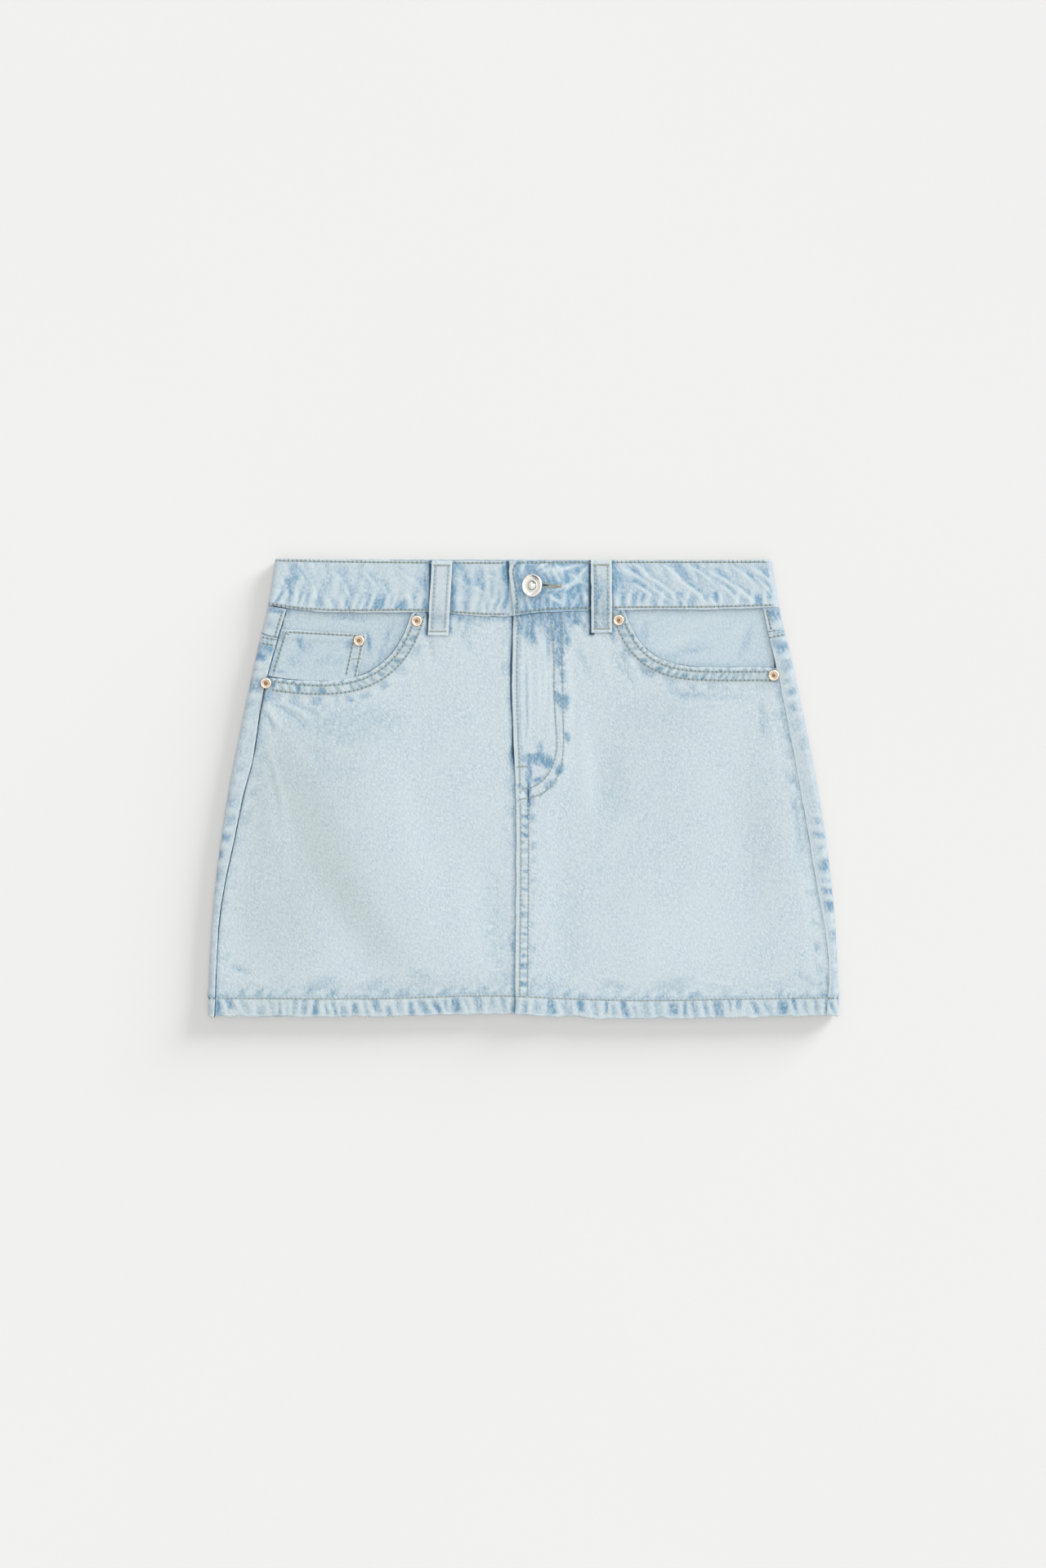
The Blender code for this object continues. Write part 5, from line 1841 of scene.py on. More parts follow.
# %% The washed colour
BETWEEN_THREADS = (0.71, 0.77, 0.81, 1)  # a share of the colour, where the weave lets the blue through
# The grey mask darkens towards this cast: painted shade over broad folds and beside the side seams, and a
# greyer tone at the hem, the mouths, the band and the pockets.
GREY_CAST = (0.84, 0.85, 0.8, 1)
colours = {"Body": COLOUR, "Blue": COLOUR, "Pale": COLOUR, "Deep": COLOUR, "Inside": COLOUR}
amounts = {name: FLOAT for name in ("Fleck", "Cloud", "Break", "Mottle", "Grey")}
inputs = {**colours, "Paint": VECTOR, "Grain": VECTOR, **amounts}
washed, given, result = group("washed", inputs, {"Color": COLOUR, "Worn": FLOAT})
masks = add(washed, "ShaderNodeSeparateXYZ", {0: given["Paint"]})
inside = add(washed, "ShaderNodeSeparateXYZ", {0: given["Grain"]}).outputs["Z"]
breaking = calc(washed, "MULTIPLY_ADD", given["Fleck"], -0.5, 0.67)
breaking = calc(washed, "MULTIPLY_ADD", given["Break"], 0.85, breaking)
spotty = calc(washed, "MULTIPLY", given["Mottle"], calc(washed, "SUBTRACT", given["Break"], 0.5))
mottled = calc(washed, "MULTIPLY", given["Mottle"], calc(washed, "SUBTRACT", given["Cloud"], 0.42))
blue = calc(washed, "ADD", masks.outputs["Y"], mottled)
blue = calc(washed, "ADD", calc(washed, "MULTIPLY", blue, breaking), spotty, clamp=True)
pale = calc(washed, "MULTIPLY", masks.outputs["X"], breaking, clamp=True)
deep = step_node(washed, masks.outputs["Z"], 0.12, 0.85)
clouded = calc(washed, "MULTIPLY_ADD", given["Cloud"], 0.1, 0.95)
bare = calc(washed, "SUBTRACT", 1.0, given["Fleck"])
bare = calc(washed, "MULTIPLY", bare, calc(washed, "MULTIPLY_ADD", given["Cloud"], 1.1, 0.35))
bare = calc(washed, "MULTIPLY", bare, calc(washed, "MULTIPLY_ADD", pale, -0.45, 1.0))
colour = blend(washed, blue, given["Body"], given["Blue"])
colour = blend(washed, pale, colour, given["Pale"])
colour = blend(washed, deep, colour, given["Deep"])
colour = blend(washed, inside, colour, given["Inside"])
colour = blend(washed, bare, colour, blend(washed, 1.0, colour, BETWEEN_THREADS, "MULTIPLY"))
colour = blend(washed, given["Grey"], colour, blend(washed, 1.0, colour, GREY_CAST, "MULTIPLY"))
toned = add(washed, "ShaderNodeVectorMath", {0: colour, 3: clouded}, operation="SCALE").outputs["Vector"]
washed.links.new(toned, result.inputs["Color"])
washed.links.new(pale, result.inputs["Worn"])
print("washed colour sockets:", len(inputs))

# %% Needle holes and the groove of a stitched row
PIT_LENGTH = 0.23  # of the pitch, on each side of the needle hole
PIT_WIDTH = 0.00078
GROOVE_WIDTH = 0.0012

stitched, given, result = group("stitched row", {"Row": VECTOR}, {"Pit": FLOAT, "Groove": FLOAT})
parts = add(stitched, "ShaderNodeSeparateXYZ", {0: given["Row"]})
share = calc(stitched, "FRACT", calc(stitched, "DIVIDE", parts.outputs["X"], STITCH_PITCH))
from_hole = calc(stitched, "MINIMUM", share, calc(stitched, "SUBTRACT", 1.0, share))
gap = calc(stitched, "ABSOLUTE", parts.outputs["Y"])
pit = calc(stitched, "MULTIPLY", step_node(stitched, from_hole, PIT_LENGTH * 0.4, PIT_LENGTH, 1, 0),
           step_node(stitched, gap, PIT_WIDTH * 0.5, PIT_WIDTH * 1.5, 1, 0))
groove = step_node(stitched, gap, 0.0, GROOVE_WIDTH, 1, 0)
stitched.links.new(calc(stitched, "MULTIPLY", pit, parts.outputs["Z"]), result.inputs["Pit"])
stitched.links.new(calc(stitched, "MULTIPLY", groove, parts.outputs["Z"]), result.inputs["Groove"])
print("needle holes:", round(2 * PIT_LENGTH * STITCH_PITCH * 1000, 2), "mm long")

# %% Denims
NAP = 0.0003  # height of the weave's relief
# DEEP is dark indigo: the unworn dye in seams, and the colour of painted shadow beside seams, loops, the tab,
# the fly and the pocket mouths.
PALE, DEEP, INSIDE = "DDE9ED", "3F5A72", "C6D2D8"


def denim(name, body, blue, mottle):
    material, tree, shader = finish(f"washed denim, {name}", 0.25)
    paint, grain, row = (mask(tree, name, "Vector") for name in ("paint", "grain", "row"))
    weave = add(tree, "ShaderNodeGroup", {"Grain": grain}, node_tree=twill).outputs
    colours = {"Body": body, "Blue": blue, "Pale": PALE, "Deep": DEEP, "Inside": INSIDE}
    wash = add(tree, "ShaderNodeGroup", {
        **{label: linear(colour) for label, colour in colours.items()},
        **{label: weave[label] for label in ("Fleck", "Cloud", "Break")},
        "Paint": paint, "Grain": grain, "Mottle": mottle, "Grey": mask(tree, "grey"),
    }, node_tree=washed).outputs
    rows = add(tree, "ShaderNodeGroup", {"Row": row}, node_tree=stitched).outputs
    colour = blend(tree, calc(tree, "MULTIPLY", rows["Pit"], 0.85), wash["Color"], linear("5C6C74"))
    colour = blend(tree, calc(tree, "MULTIPLY", rows["Groove"], 0.36), colour, linear("8CA3B0"))
    tree.links.new(colour, shader.inputs["Base Color"])
    rough = calc(tree, "MULTIPLY_ADD", weave["Fleck"], -0.1, 0.93)
    tree.links.new(rough, shader.inputs["Roughness"])
    height = calc(tree, "SUBTRACT", weave["Height"], calc(tree, "MULTIPLY", rows["Groove"], 0.5))
    height = calc(tree, "SUBTRACT", height, calc(tree, "MULTIPLY", rows["Pit"], 0.8))
    bump(tree, height, 0.55, NAP)
    shader.inputs["Sheen Weight"].default_value = 0.08
    shader.inputs["Sheen Roughness"].default_value = 0.6
    return material


DENIMS = {name: denim(name, *values) for name, values in {
    "fronts": ("D8E3E8", "80A6C2", 0.14), "backs": ("D1DCE1", "80A5C1", 0.2),
    "waistband": ("D4E0E7", "82ABC9", 0.25), "facings": ("CFDDE5", "86ABC9", 0.16),
    "loops": ("D5DFE1", "84A6C0", 0.2),
}.items()}
print("denims:", ", ".join(DENIMS))

# %% Cloth pieces
FINISH_OF = {
    "front": ("fronts", "denim_body"), "back": ("backs", "denim_body"),
    "pocket": ("facings", "denim_facing"), "coin": ("facings", "denim_facing"),
    "waistband": ("waistband", "denim_waistband"), "belt": ("loops", "denim_waistband"),
}
for cloth in cloths:
    kind, slot = FINISH_OF[cloth.name.split("_")[0]]
    mesh = shell_mesh(cloth, DENIMS[kind])
    put(cloth.name + "_cloth", mesh, slot, cloth.name)

# %% [markdown]
# ## Topstitching
# Each stitch is a short thread that rises out of one needle hole and dives into the next. One small form is
# bent on to the cloth at every step of every row, and the stitches of a piece are joined into one mesh.


# %% Meshes of threads
STITCH_STATIONS = np.array((0.0, 0.1, 0.3, 0.7, 0.9, 1.0))
STITCH_RADII = np.array((0.35, 0.85, 1.0, 1.0, 0.85, 0.35))
STITCH_SIDES = 6
STITCH_SHARE = (0.1, 0.9)  # of the pitch


def tube_faces(count, rings, sides):
    """Faces of many tubes with closed ends, whose points are ordered by tube, ring and side."""
    index = np.arange(rings * sides).reshape(rings, sides)
    after = np.roll(index, -1, 1)
    quads = np.stack([index[:-1], after[:-1], after[1:], index[1:]], -1).reshape(-1, 4)
    base = np.arange(count)[:, None] * rings * sides
    faces = (quads + base[:, None]).reshape(-1, 4).tolist()
    return faces + (index[0, ::-1] + base).tolist() + (index[-1] + base).tolist()


def thread_piece(name, up, material, down=(), half_width=0.00022, height=0.00022):
    """One mesh of many short threads, between pairs of points. Each bulges up, or down below the skirt."""
    ends = np.array([*up, *down])
    ends[len(up):, :, 2] = np.maximum(ends[len(up):, :, 2], UNDER_LIFT) - 0.00002
    lift = np.repeat([(0.0, 0, 1), (0.0, 0, -1)], (len(up), len(down)), 0)
    start, axis = ends[:, 0], ends[:, 1] - ends[:, 0]
    side = np.cross(lift, axis)
    side /= np.linalg.norm(side, axis=1, keepdims=True)
    start, axis, lift, side = (v[:, None, None] for v in (start, axis, lift, side))
    t = STITCH_STATIONS[:, None, None]
    angle = np.linspace(0, 2 * math.pi, STITCH_SIDES, endpoint=False)[:, None]
    radius = STITCH_RADII[:, None, None] * half_width
    points = start + axis * t + lift * (height * np.sin(math.pi * t) ** 0.6 - 0.00004)
    points = points + side * radius * np.cos(angle) + lift * radius * 0.75 * np.sin(angle)
    faces = tube_faces(len(ends), len(STITCH_STATIONS), STITCH_SIDES)
    return put(name, make_mesh(name, points.reshape(-1, 3), faces, material), "topstitch_thread")


print("points of a stitch:", len(STITCH_STATIONS) * STITCH_SIDES)


# %% Threads on the cloth
def surface(cloth, x, y, under):
    """The cloth's height at a place, from above or from below."""
    sign = -1 if under else 1
    hit = cloth.tree.ray_cast(Vector((x, y, sign * 0.5)), Vector((0, 0, -sign)))[0]
    return None if hit is None else hit.z


def on_cloth(cloth, starts, ends, under=False):
    """Keeps the threads that lie on the cloth, at its height."""
    kept = []
    for start, end in zip(starts, ends):
        a, b = (surface(cloth, *place, under) for place in (start, end))
        if a is not None and b is not None and abs(a - b) < 0.0012:
            kept.append(((*start, a), (*end, b)))
    return kept


def sew(name, rows, material):
    rng = np.random.default_rng(7)
    up, down = [], []
    for cloth, path, under in rows:
        step = np.hypot(*np.diff(path, axis=0).T)
        went = np.concatenate([[0], np.cumsum(step)])
        first = np.arange(int(went[-1] / STITCH_PITCH)) * STITCH_PITCH
        places = []
        for share in STITCH_SHARE:
            at = first + STITCH_PITCH * share + rng.normal(0, 0.00006, len(first))
            jitter = rng.normal(0, 0.00005, (len(first), 2))
            places.append(plan(np.interp(at, went, path[:, 0]), np.interp(at, went, path[:, 1])) + jitter)
        (down if under else up).extend(on_cloth(cloth, *places, under))
    thread_piece(name, up, material, down, half_width=0.00034, height=0.00016)
    print(name, len(up) + len(down), "stitches")


def cotton(name, colour, dark):
    material, tree, shader = finish(name, 0.3)
    place = add(tree, "ShaderNodeTexCoord").outputs["Object"]
    ply = noise(tree, place, (2600, 2600, 2600), 1.0)
    worn = noise(tree, place, (150, 150, 150), 3.0)
    shade = calc(tree, "MULTIPLY_ADD", ply, 0.5, calc(tree, "MULTIPLY", worn, 0.7))
    shade = step_node(tree, shade, 0.35, 0.85)
    tree.links.new(blend(tree, shade, linear(dark), linear(colour)), shader.inputs["Base Color"])
    shader.inputs["Roughness"].default_value = 0.8
    bump(tree, ply, 0.4, 0.00008)
    return material


print("thread of a stitch spans", STITCH_SHARE, "of the pitch")

# %% Threads and the sewing of every row
OLIVE = cotton("olive grey thread", "B6B89F", "8B8E82")
GREY_THREAD = cotton("washed grey thread", "BDC5BC", "95A09B")
WORN_THREAD = cotton("worn grey thread", "C6D0D0", "A3B0B4")
PALE_THREAD = cotton("pale olive thread", "C3C4A8", "8F927C")
GOLD = cotton("golden thread", "E2B878", "BE9258")
for name, start, thread in (
    ("fronts", "front_panel", GREY_THREAD), ("backs", "back_", OLIVE), ("waistband", "waistband", OLIVE),
    ("loops", "belt_loop", WORN_THREAD), ("coin_pocket", "coin", OLIVE),
):
    sew(f"topstitching_{name}", [row for row in SEWN if row[0].name.startswith(start)], thread)

# %% [markdown]
# ## Bar tacks, buttonhole and loose threads
# A bar tack is a dense bundle of short stitches where a seam is pulled hard. The buttonhole is edged the same
# way. Worn edges shed a few pale threads, which are thin tubes along a curve.

# %% Bar tacks
TACK_STEP = 0.00042


def tack(cloth, start, end, width):
    """Short stitches side by side, across a line from start to end."""
    start, run = np.array(start), np.subtract(end, start)
    count = max(int(np.hypot(*run) / TACK_STEP), 2)
    across = np.array((-run[1], run[0])) / np.hypot(*run) * width / 2
    middle = start + run * np.linspace(0, 1, count)[:, None]
    spread = across * np.random.default_rng(count).uniform(0.8, 1.15, (count, 1))
    return on_cloth(cloth, middle - spread, middle + spread)


TACK_WIDTH = 0.0012
TACK_INSET = 0.0016
tacks = []
for side, loop in front_loops.items():
    top_x, foot_x, foot_y = FRONT_LOOPS[side]
    top_y = float(band_high(top_x))
    half = LOOP_WIDTH / 2 - TACK_INSET
    for x, y in ((top_x, top_y - 0.0036), (foot_x, foot_y + 0.0032)):
        tacks += tack(loop, (x - half, y), (x + half, y), TACK_WIDTH)
thread_piece("bar_tacks_front", tacks, GREY_THREAD)
thread_piece("bar_tack_fly", tack(left, *FLY_TACK, TACK_WIDTH), GREY_THREAD)
coin_tacks = tack(coin, (-0.1322, COIN_TACK_HEIGHT), (-0.1248, COIN_TACK_HEIGHT), 0.0008)
coin_tacks += tack(coin, (-0.1846, 0.1212), (-0.1853, 0.118), 0.0009)
thread_piece("bar_tack_coin_pocket", coin_tacks, GREY_THREAD)

print("bar tack threads:", len(tacks) + len(coin_tacks))

# %% Buttonhole's edging
hole_start, hole_end = np.array(HOLE[0]), np.array(HOLE[1])
hole_run = hole_end - hole_start
hole_across = np.array((-hole_run[1], hole_run[0])) / np.hypot(*hole_run)
edging, tip = [], []
for share in np.linspace(-0.1, 1, 40):
    middle = hole_start + hole_run * share
    reach = HOLE_HALF_WIDTH[0] + (HOLE_HALF_WIDTH[1] - HOLE_HALF_WIDTH[0]) * share
    near = max(reach - HOLE_EDGING, 0.0001)
    for turn in (-1, 1):
        stitch = on_cloth(band, [middle + hole_across * turn * near], [middle + hole_across * turn * reach])
        (tip if share > 0.84 else edging).extend(stitch)
thread_piece("buttonhole_edging", edging, PALE_THREAD, half_width=0.00024, height=0.0003)
thread_piece("buttonhole_tip", tip, GOLD, half_width=0.00024, height=0.00034)
print("buttonhole:", round(float(np.hypot(*hole_run)) * 1000, 1), "mm")


# %% Loose threads
FRAY_SIDES = 5
FRAY = cotton("loose pale thread", "E6ECEC", "BFCBD0")


def loose_threads(name, curves, radius):
    """One mesh of thin tubes along curves."""
    curves = np.array(curves)
    ahead = np.gradient(curves, axis=1)
    ahead /= np.linalg.norm(ahead, axis=2, keepdims=True)
    side = np.cross(ahead, (0.0, 0.0, 1.0))
    side /= np.maximum(np.linalg.norm(side, axis=2, keepdims=True), 1e-9)
    up = np.cross(side, ahead)
    angle = np.linspace(0, 2 * math.pi, FRAY_SIDES, endpoint=False)[:, None]
    points = curves[:, :, None] + radius * (side[:, :, None] * np.cos(angle) + up[:, :, None] * np.sin(angle))
    faces = tube_faces(len(curves), curves.shape[1], FRAY_SIDES)
    put(name, make_mesh(name, points.reshape(-1, 3), faces, FRAY), "denim_body")


def frays(cloth, places, seed, upward, length):
    """Short curved threads that stand off a worn edge."""
    rng = np.random.default_rng(seed)
    curves = []
    for x, y in places:
        level = surface(cloth, x, y, False)
        if level is None:
            continue
        turn = rng.uniform(-0.9, 0.9)
        reach = length * rng.uniform(0.4, 1.0)
        bend = rng.uniform(-0.6, 0.6)
        t = np.linspace(0, 1, 7)
        dx = reach * (math.sin(turn) * t + bend * t * t * math.cos(turn))
        dy = upward * reach * (math.cos(turn) * t - bend * t * t * math.sin(turn) * 0.5)
        dz = 0.0004 * np.sin(math.pi * t) + rng.uniform(-0.0002, 0.0003) * t
        curves.append(np.stack([x + dx, y + dy, level + 0.0001 + dz], 1))
    return curves


left_edge = offset(MOUTH_PATH["left"], -0.0009)
places = left_edge[np.array((14, 17, 20, 23, 25, 27, 28, 30, 31, 33, 35, 38, 43))]
curves = frays(left, places, 201, 1, 0.0052)
right_edge = offset(MOUTH_PATH["right"], 0.0009)
curves += frays(right, right_edge[np.array((18, 26, 31, 35, 42, 49))], 202, 1, 0.003)
loose_threads("loose_threads_mouths", curves, 0.00022)
x = np.random.default_rng(203).uniform(-0.232, 0.236, 70)
hem_places = plan(x, hem_at(x) + 0.0012)
curves = []
for side, cloth in fronts.items():
    keep = (x > 0) if side == "left" else (x < -0.01)
    curves += frays(cloth, hem_places[keep], 204, -1, 0.0024)
loose_threads("loose_threads_hem", curves, 0.00013)
print("loose threads:", len(curves))

# %% [markdown]
# ## Button and rivets
# A jeans button is pressed from sheet metal: a domed rim round a dished face, on a shank. The rivets are
# small copper-coloured burrs with a nub in the middle. Both are turned forms, made from a rounded profile.


# %% Turned metal
def rounded(profile, times=2):
    """Cuts a profile's corners, and keeps its two ends on the axis."""
    points = np.array(profile)
    for _ in range(times):
        near, far = points[:-1] * 0.75 + points[1:] * 0.25, points[:-1] * 0.25 + points[1:] * 0.75
        cut = np.stack([near, far], 1).reshape(-1, points.shape[1])
        points = np.concatenate([points[:1], cut, points[-1:]])
    return points


def turned(name, profile, steps, material, wobble=0.0, seed=0):
    """Turns a text profile of radius and height in millimetres and grime, with a comma after each point."""
    profile = np.array([row.split() for row in profile.split(",")], float) * (0.001, 0.001, 1)
    points = rounded(profile)[1:-1]
    rng = np.random.default_rng(seed)
    angles = np.linspace(0, 2 * math.pi, steps, endpoint=False)
    uneven = np.sin(angles * 2 + rng.uniform(0, 6)) + 0.6 * np.sin(angles * 3 + rng.uniform(0, 6))
    radius = points[:, :1] * (1 + wobble * uneven)
    height = np.repeat(points[:, 1:2], steps, 1)
    rings = np.stack([radius * np.cos(angles), radius * np.sin(angles), height], -1)
    vertices = np.concatenate([rings.reshape(-1, 3), [(0, 0, points[0, 1]), (0, 0, points[-1, 1])]])
    index = np.arange(radius.size).reshape(-1, steps)
    after = np.roll(index, -1, 1)
    faces = np.stack([index[:-1], index[1:], after[1:], after[:-1]], -1).reshape(-1, 4).tolist()
    for middle, a, b in ((radius.size, index[0], after[0]), (radius.size + 1, after[-1], index[-1])):
        faces += np.stack([np.full(steps, middle), a, b], -1).tolist()
    mesh = make_mesh(name, vertices, faces, material)
    stain = np.concatenate([np.repeat(points[:, 2], steps), points[[0, -1], 2]]).astype(np.float32)
    mesh.attributes.new("stain", "FLOAT", "POINT").data.foreach_set("value", stain)
    return mesh


def metal(name, colour, tarnish, grime_and_reflection, roughness, scratch):
    material, tree, shader = finish(name, 0.5)
    place = add(tree, "ShaderNodeTexCoord").outputs["Object"]
    cloudy = step_node(tree, noise(tree, place, (700, 700, 700), 3.0, 0.6), 0.35, 0.75)
    fine = noise(tree, place, (5200, 3000, 4000), 2.0, 0.6)
    # The stain mask darkens the metal towards its grime colour: grime in the hollows, and on the button
    # painted dark reflections.
    stain, patchy = mask(tree, "stain"), calc(tree, "MULTIPLY_ADD", cloudy, 0.5, 0.7)
    stain = calc(tree, "MULTIPLY", stain, patchy, clamp=True)
    sheen = blend(tree, cloudy, linear(colour, 1.0), linear(tarnish, 1.0))
    tree.links.new(blend(tree, stain, sheen, linear(grime_and_reflection, 1.0)), shader.inputs["Base Color"])
    rough = calc(tree, "MULTIPLY_ADD", cloudy, 0.12, roughness)
    tree.links.new(calc(tree, "MULTIPLY_ADD", stain, 0.3, rough), shader.inputs["Roughness"])
    bump(tree, fine, scratch, 0.00004)
    shader.inputs["Metallic"].default_value = 1.0
    return material


SILVER = metal("satin silver", "FAF8F3", "EAE4DC", "54565A", 0.18, 0.2)
ROSE = metal("rose gold", "EADFD0", "DDC8B0", "967660", 0.28, 0.35)
ROSE_NUB = metal("worn copper", "A8805C", "86603F", "5A4230", 0.22, 0.3)
print("metals:", SILVER.name, ROSE.name, ROSE_NUB.name)

# %% Rivets
RIVET_FORMS = {
    "ring": ("0 .7 .6, 1.1 .7 .45, 2.3 .72 .3, 2.6 1 .1, 3.1 1.3 0, 3.7 1.28 0, 4.15 .9 .2, 4.25 .3 .9, "
             "4.25 0 1, 4.2 0 1, 0 0 1", 48, ROSE, 0.006),
    "nub": ("0 1.35 .4, .34 1.33 .4, .64 1.62 0, 1.06 1.64 0, 1.36 1.4 .3, 1.5 .8 1, 1.56 .6 1, 0 .6 1",
            32, ROSE_NUB, 0.03),
}
for number, (name, place) in enumerate(RIVETS.items()):
    for seed, (form, values) in enumerate(RIVET_FORMS.items()):
        mesh = turned(f"{name}_{form}", *values, number + 10 * seed)
        mesh.transform(Matrix.Translation((*place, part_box(name)[0].z)))
        put(mesh.name, mesh, "rivet_metal", name)
print("rivets:", len(RIVETS))

# %% Button
BUTTON_TILT = math.radians(28)
BUTTON_LIFT = 0.0017
BUTTON_FOOT = (BUTTON_PLACE[0] + 0.0018, BUTTON_PLACE[1])  # the shank leans back from here
BUTTON_FORM = (
    "0 5.5 0, 1.1 5.43 0, 2 5.2 0, 2.7 4.85 0, 3.2 4.4 .35, 3.45 4.12 .95, 3.7 4.1 .7, 4 4.36 0, 4.4 4.36 0, "
    "4.8 4.12 .15, 5.6 4.18 0, 6.8 4.5 0, 7.5 4.82 0, 8 4.86 0, 8.5 4.62 .05, 8.85 4.2 .5, 9 4 .9, "
    "8.93 3.8 .7, 8.2 3.3 .2, 2.6 2.9 .3, 2.6 0 .6, 0 0 .6"
)
# Painted dark reflections, as crescents on the button's face: radius, half width, angle and half angle in
# degrees, strength
BUTTON_DARK_REFLECTIONS = ((0.0075, 0.0006, 62, 28, 1.5), (0.0057, 0.0004, 60, 17, 0.9), (0.003, 0.00065, 48, 28, 1.5))


def tarnish(mesh, crescents):
    """Adds painted dark reflections, as crescents, to the darkening mask of a turned form's upper side."""
    places = np.empty(len(mesh.vertices) * 3, np.float32)
    mesh.vertices.foreach_get("co", places)
    x, y, z = places.reshape(-1, 3).T
    radius, angle = np.hypot(x, y), np.degrees(np.arctan2(y, x))
    stain, values = mesh.attributes["stain"].data, np.empty(len(mesh.vertices), np.float32)
    stain.foreach_get("value", values)
    for middle, half_width, turn, half_turn, strength in crescents:
        crescent = np.exp(-(((radius - middle) / half_width) ** 2) - ((angle - turn) / half_turn) ** 4)
        values += strength * crescent * (z > 0.004)
    stain.foreach_set("value", np.clip(values, 0, 1).astype(np.float32))


button_mesh = turned("waist_button_metal", BUTTON_FORM, 96, SILVER)
# Paints dark reflections on the button's face, as dark crescents.
tarnish(button_mesh, BUTTON_DARK_REFLECTIONS)
seat = Matrix.Translation((*BUTTON_FOOT, BAND_TOP + BAND_TAB_RISE + BUTTON_LIFT))
button_mesh.transform(seat @ Matrix.Rotation(-BUTTON_TILT, 4, "Y"))
put("waist_button_metal", button_mesh, "button_metal", "waist_button")
print("points of the button:", len(button_mesh.vertices))

# %% [markdown]
# ## Cut sizes of the cloth
# A sheet of cloth keeps the size it was cut to. The patterns' widths and lengths are listed here.


CUTS = {
    "front_panel_right": (0.245, 0.314), "front_panel_left": (0.24, 0.314), "back_panel": (0.258, 0.3),
    "back_yoke": (0.226, 0.056), "pocket_facing_right": (0.118, 0.072), "pocket_facing_left": (0.112, 0.066),
    "coin_pocket": (0.076, 0.038), "waistband": (0.812, 0.038), "belt_loop_front_right": (0.016, 0.058),
    "belt_loop": (0.016, 0.056),
}
for cloth in cloths:
    flat = next(size for start, size in CUTS.items() if cloth.name.startswith(start))

# %% [markdown]
# ## Light and table
# The skirt is lit like a catalogue picture: soft light from all round, a little stronger from the upper
# right, where a large soft lamp brings out the relief. The table is lit by two lamps of its own: a low one
# that draws the long soft shadow at the lower left, and a high one without a shadow that keeps it pale.

# %% Table
TABLE_SIZE = 24.0
TABLE_BELOW = 0.0002
half = TABLE_SIZE / 2
corners = [(x, y, -TABLE_BELOW) for x, y in ((-half, -half), (half, -half), (half, half), (-half, half))]
table_material, tree, shader = finish("pale table", 0.0)
place = add(tree, "ShaderNodeTexCoord").outputs["Object"]
faint = noise(tree, place, (3, 3, 3), 2.0)
paint = blend(tree, faint, (0.264, 0.262, 0.258, 1), (0.268, 0.266, 0.262, 1))
tree.links.new(paint, shader.inputs["Base Color"])
shader.inputs["Roughness"].default_value = 0.9
table = bpy.data.objects.new("table", make_mesh("table", corners, [(0, 1, 2, 3)], table_material))
bpy.context.scene.collection.objects.link(table)
print("table:", TABLE_SIZE, "m across")

# %% Light from all round
SKY = (0.95, 1.6)  # away from the lamp and towards it
HORIZON = 0.88  # as pale as the table
LAMP_TURN = math.radians(42)  # from +X towards +Y

world = bpy.data.worlds.new("studio")
world.use_nodes = True
tree = world.node_tree
direction = add(tree, "ShaderNodeTexCoord").outputs["Generated"]
to_lamp = (math.cos(LAMP_TURN), math.sin(LAMP_TURN), 0)
facing_lamp = add(tree, "ShaderNodeVectorMath", {0: direction, 1: to_lamp}, operation="DOT_PRODUCT")
facing_lamp = facing_lamp.outputs["Value"]
strength = step_node(tree, facing_lamp, -1.0, 1.0, *SKY)
level = add(tree, "ShaderNodeSeparateXYZ", {0: direction}).outputs["Z"]
between_lamps = calc(tree, "MULTIPLY", step_node(tree, level, 0.42, 0.52), step_node(tree, level, 0.86, 0.76))
corner = calc(tree, "MULTIPLY", between_lamps, step_node(tree, facing_lamp, 0.15, 0.45))
strength = calc(tree, "MULTIPLY", strength, calc(tree, "MULTIPLY_ADD", corner, -0.95, 1.0))
low_down = step_node(tree, level, 0.1, 0.55, 1, 0)
low_down = calc(tree, "MULTIPLY", low_down, step_node(tree, facing_lamp, 0.0, 0.75, 1, 0))
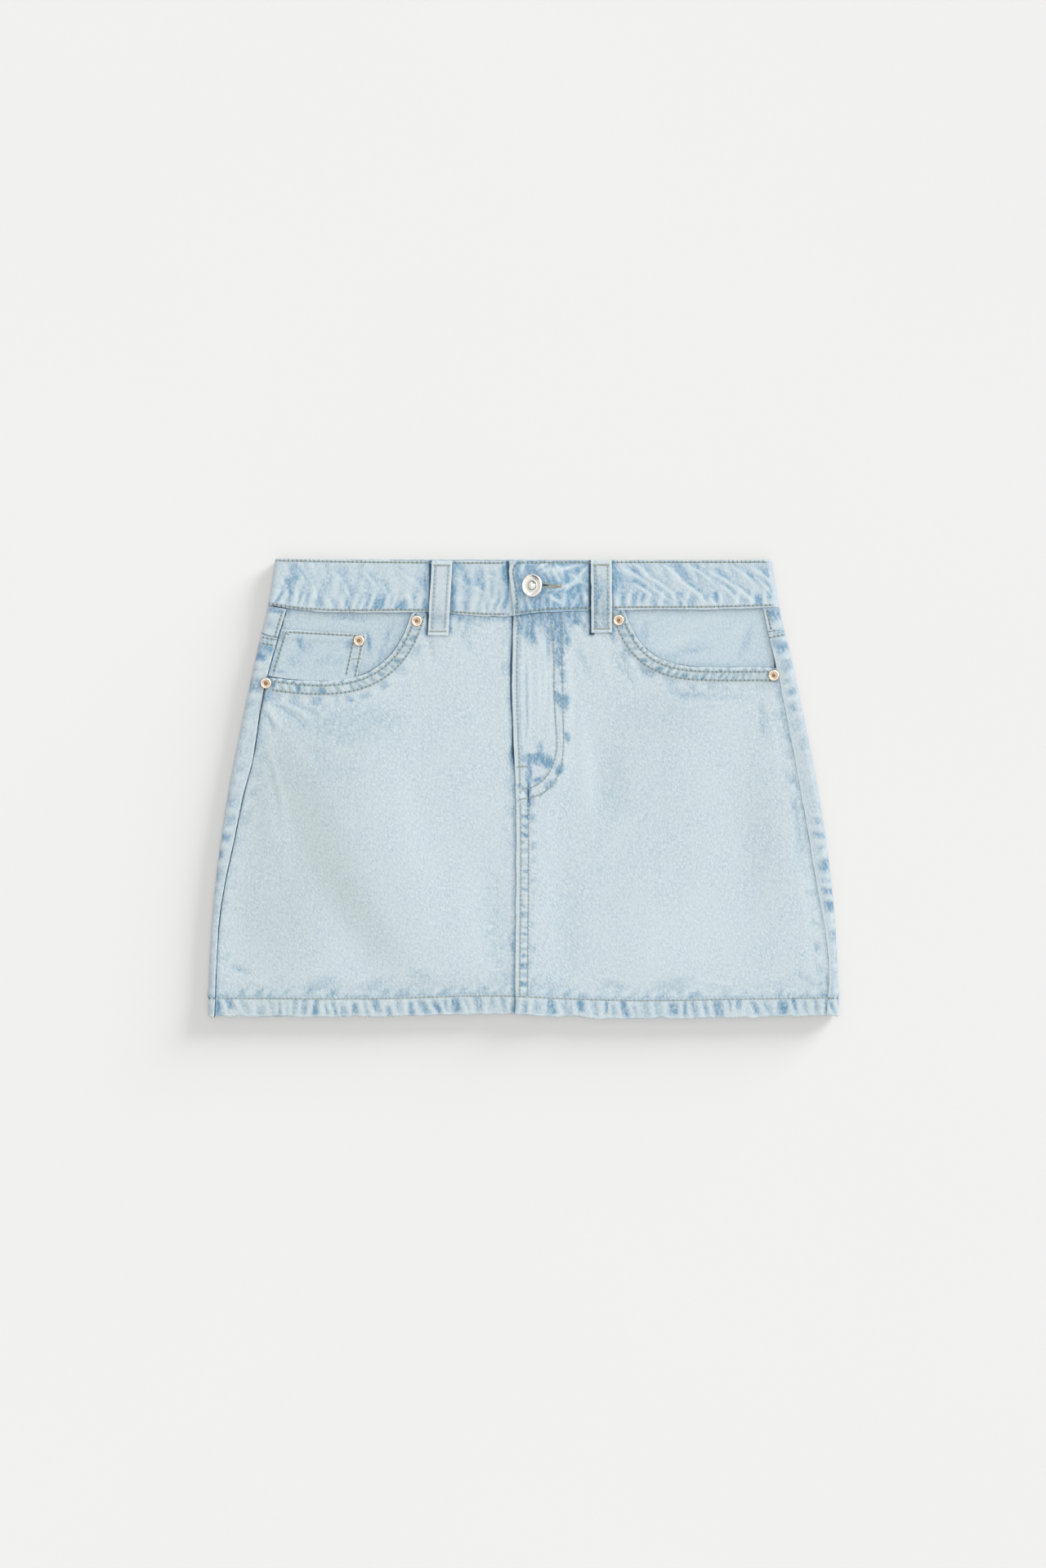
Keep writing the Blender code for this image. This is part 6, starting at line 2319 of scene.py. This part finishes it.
strength = calc(tree, "MULTIPLY", strength, calc(tree, "MULTIPLY_ADD", low_down, -0.8, 1.0))
horizon = step_node(tree, level, 0.14, 0.24, 1, 0)
strength = calc(tree, "MULTIPLY_ADD", horizon, calc(tree, "SUBTRACT", HORIZON, strength), strength)
tree.nodes["Background"].inputs["Color"].default_value = (1.0, 0.997, 0.985, 1)
tree.links.new(strength, tree.nodes["Background"].inputs["Strength"])
bpy.context.scene.world = world
print("light from all round:", SKY)

# %% Lamps
LAMP_HEIGHT = math.radians(28)
LAMP_SIZE = math.radians(70)
LAMP = 2.1
LOW_LAMP = 17.8  # strong, because light that grazes the table hardly lights it
LOW_LAMP_TURN = math.radians(41)
LOW_LAMP_HEIGHT = math.radians(8)
LOW_LAMP_SIZE = math.radians(30)
TABLE_FILL = 4.9


def lamp(name, turn, height, size, energy):
    towards = Vector((math.cos(turn) * math.cos(height), math.sin(turn) * math.cos(height), math.sin(height)))
    data = bpy.data.lights.new(name, "SUN")
    data.energy = energy
    data.angle = size
    data.color = (0.985, 0.995, 1.0)
    light = bpy.data.objects.new(name, data)
    light.rotation_mode = "QUATERNION"
    light.rotation_quaternion = towards.to_track_quat("Z", "Y")
    bpy.context.scene.collection.objects.link(light)
    return light


def table_only(light, state):
    """Makes a lamp light only the table ("INCLUDE") or all but the table ("EXCLUDE")."""
    receivers = bpy.data.collections.new(light.name + "_receivers")
    receivers.objects.link(table)
    receivers.collection_objects[0].light_linking.link_state = state
    light.light_linking.receiver_collection = receivers


table_only(lamp("lamp", LAMP_TURN, LAMP_HEIGHT, LAMP_SIZE, LAMP), "EXCLUDE")
table_only(lamp("low_lamp", LOW_LAMP_TURN, LOW_LAMP_HEIGHT, LOW_LAMP_SIZE, LOW_LAMP), "INCLUDE")
table_fill = lamp("table_fill", LAMP_TURN, math.radians(80), LAMP_SIZE, TABLE_FILL)
table_fill.data.use_shadow = False
table_only(table_fill, "INCLUDE")
bpy.context.scene.view_settings.view_transform = "Standard"
print("lamp:", round(math.degrees(LAMP_HEIGHT)), "degrees above the table")
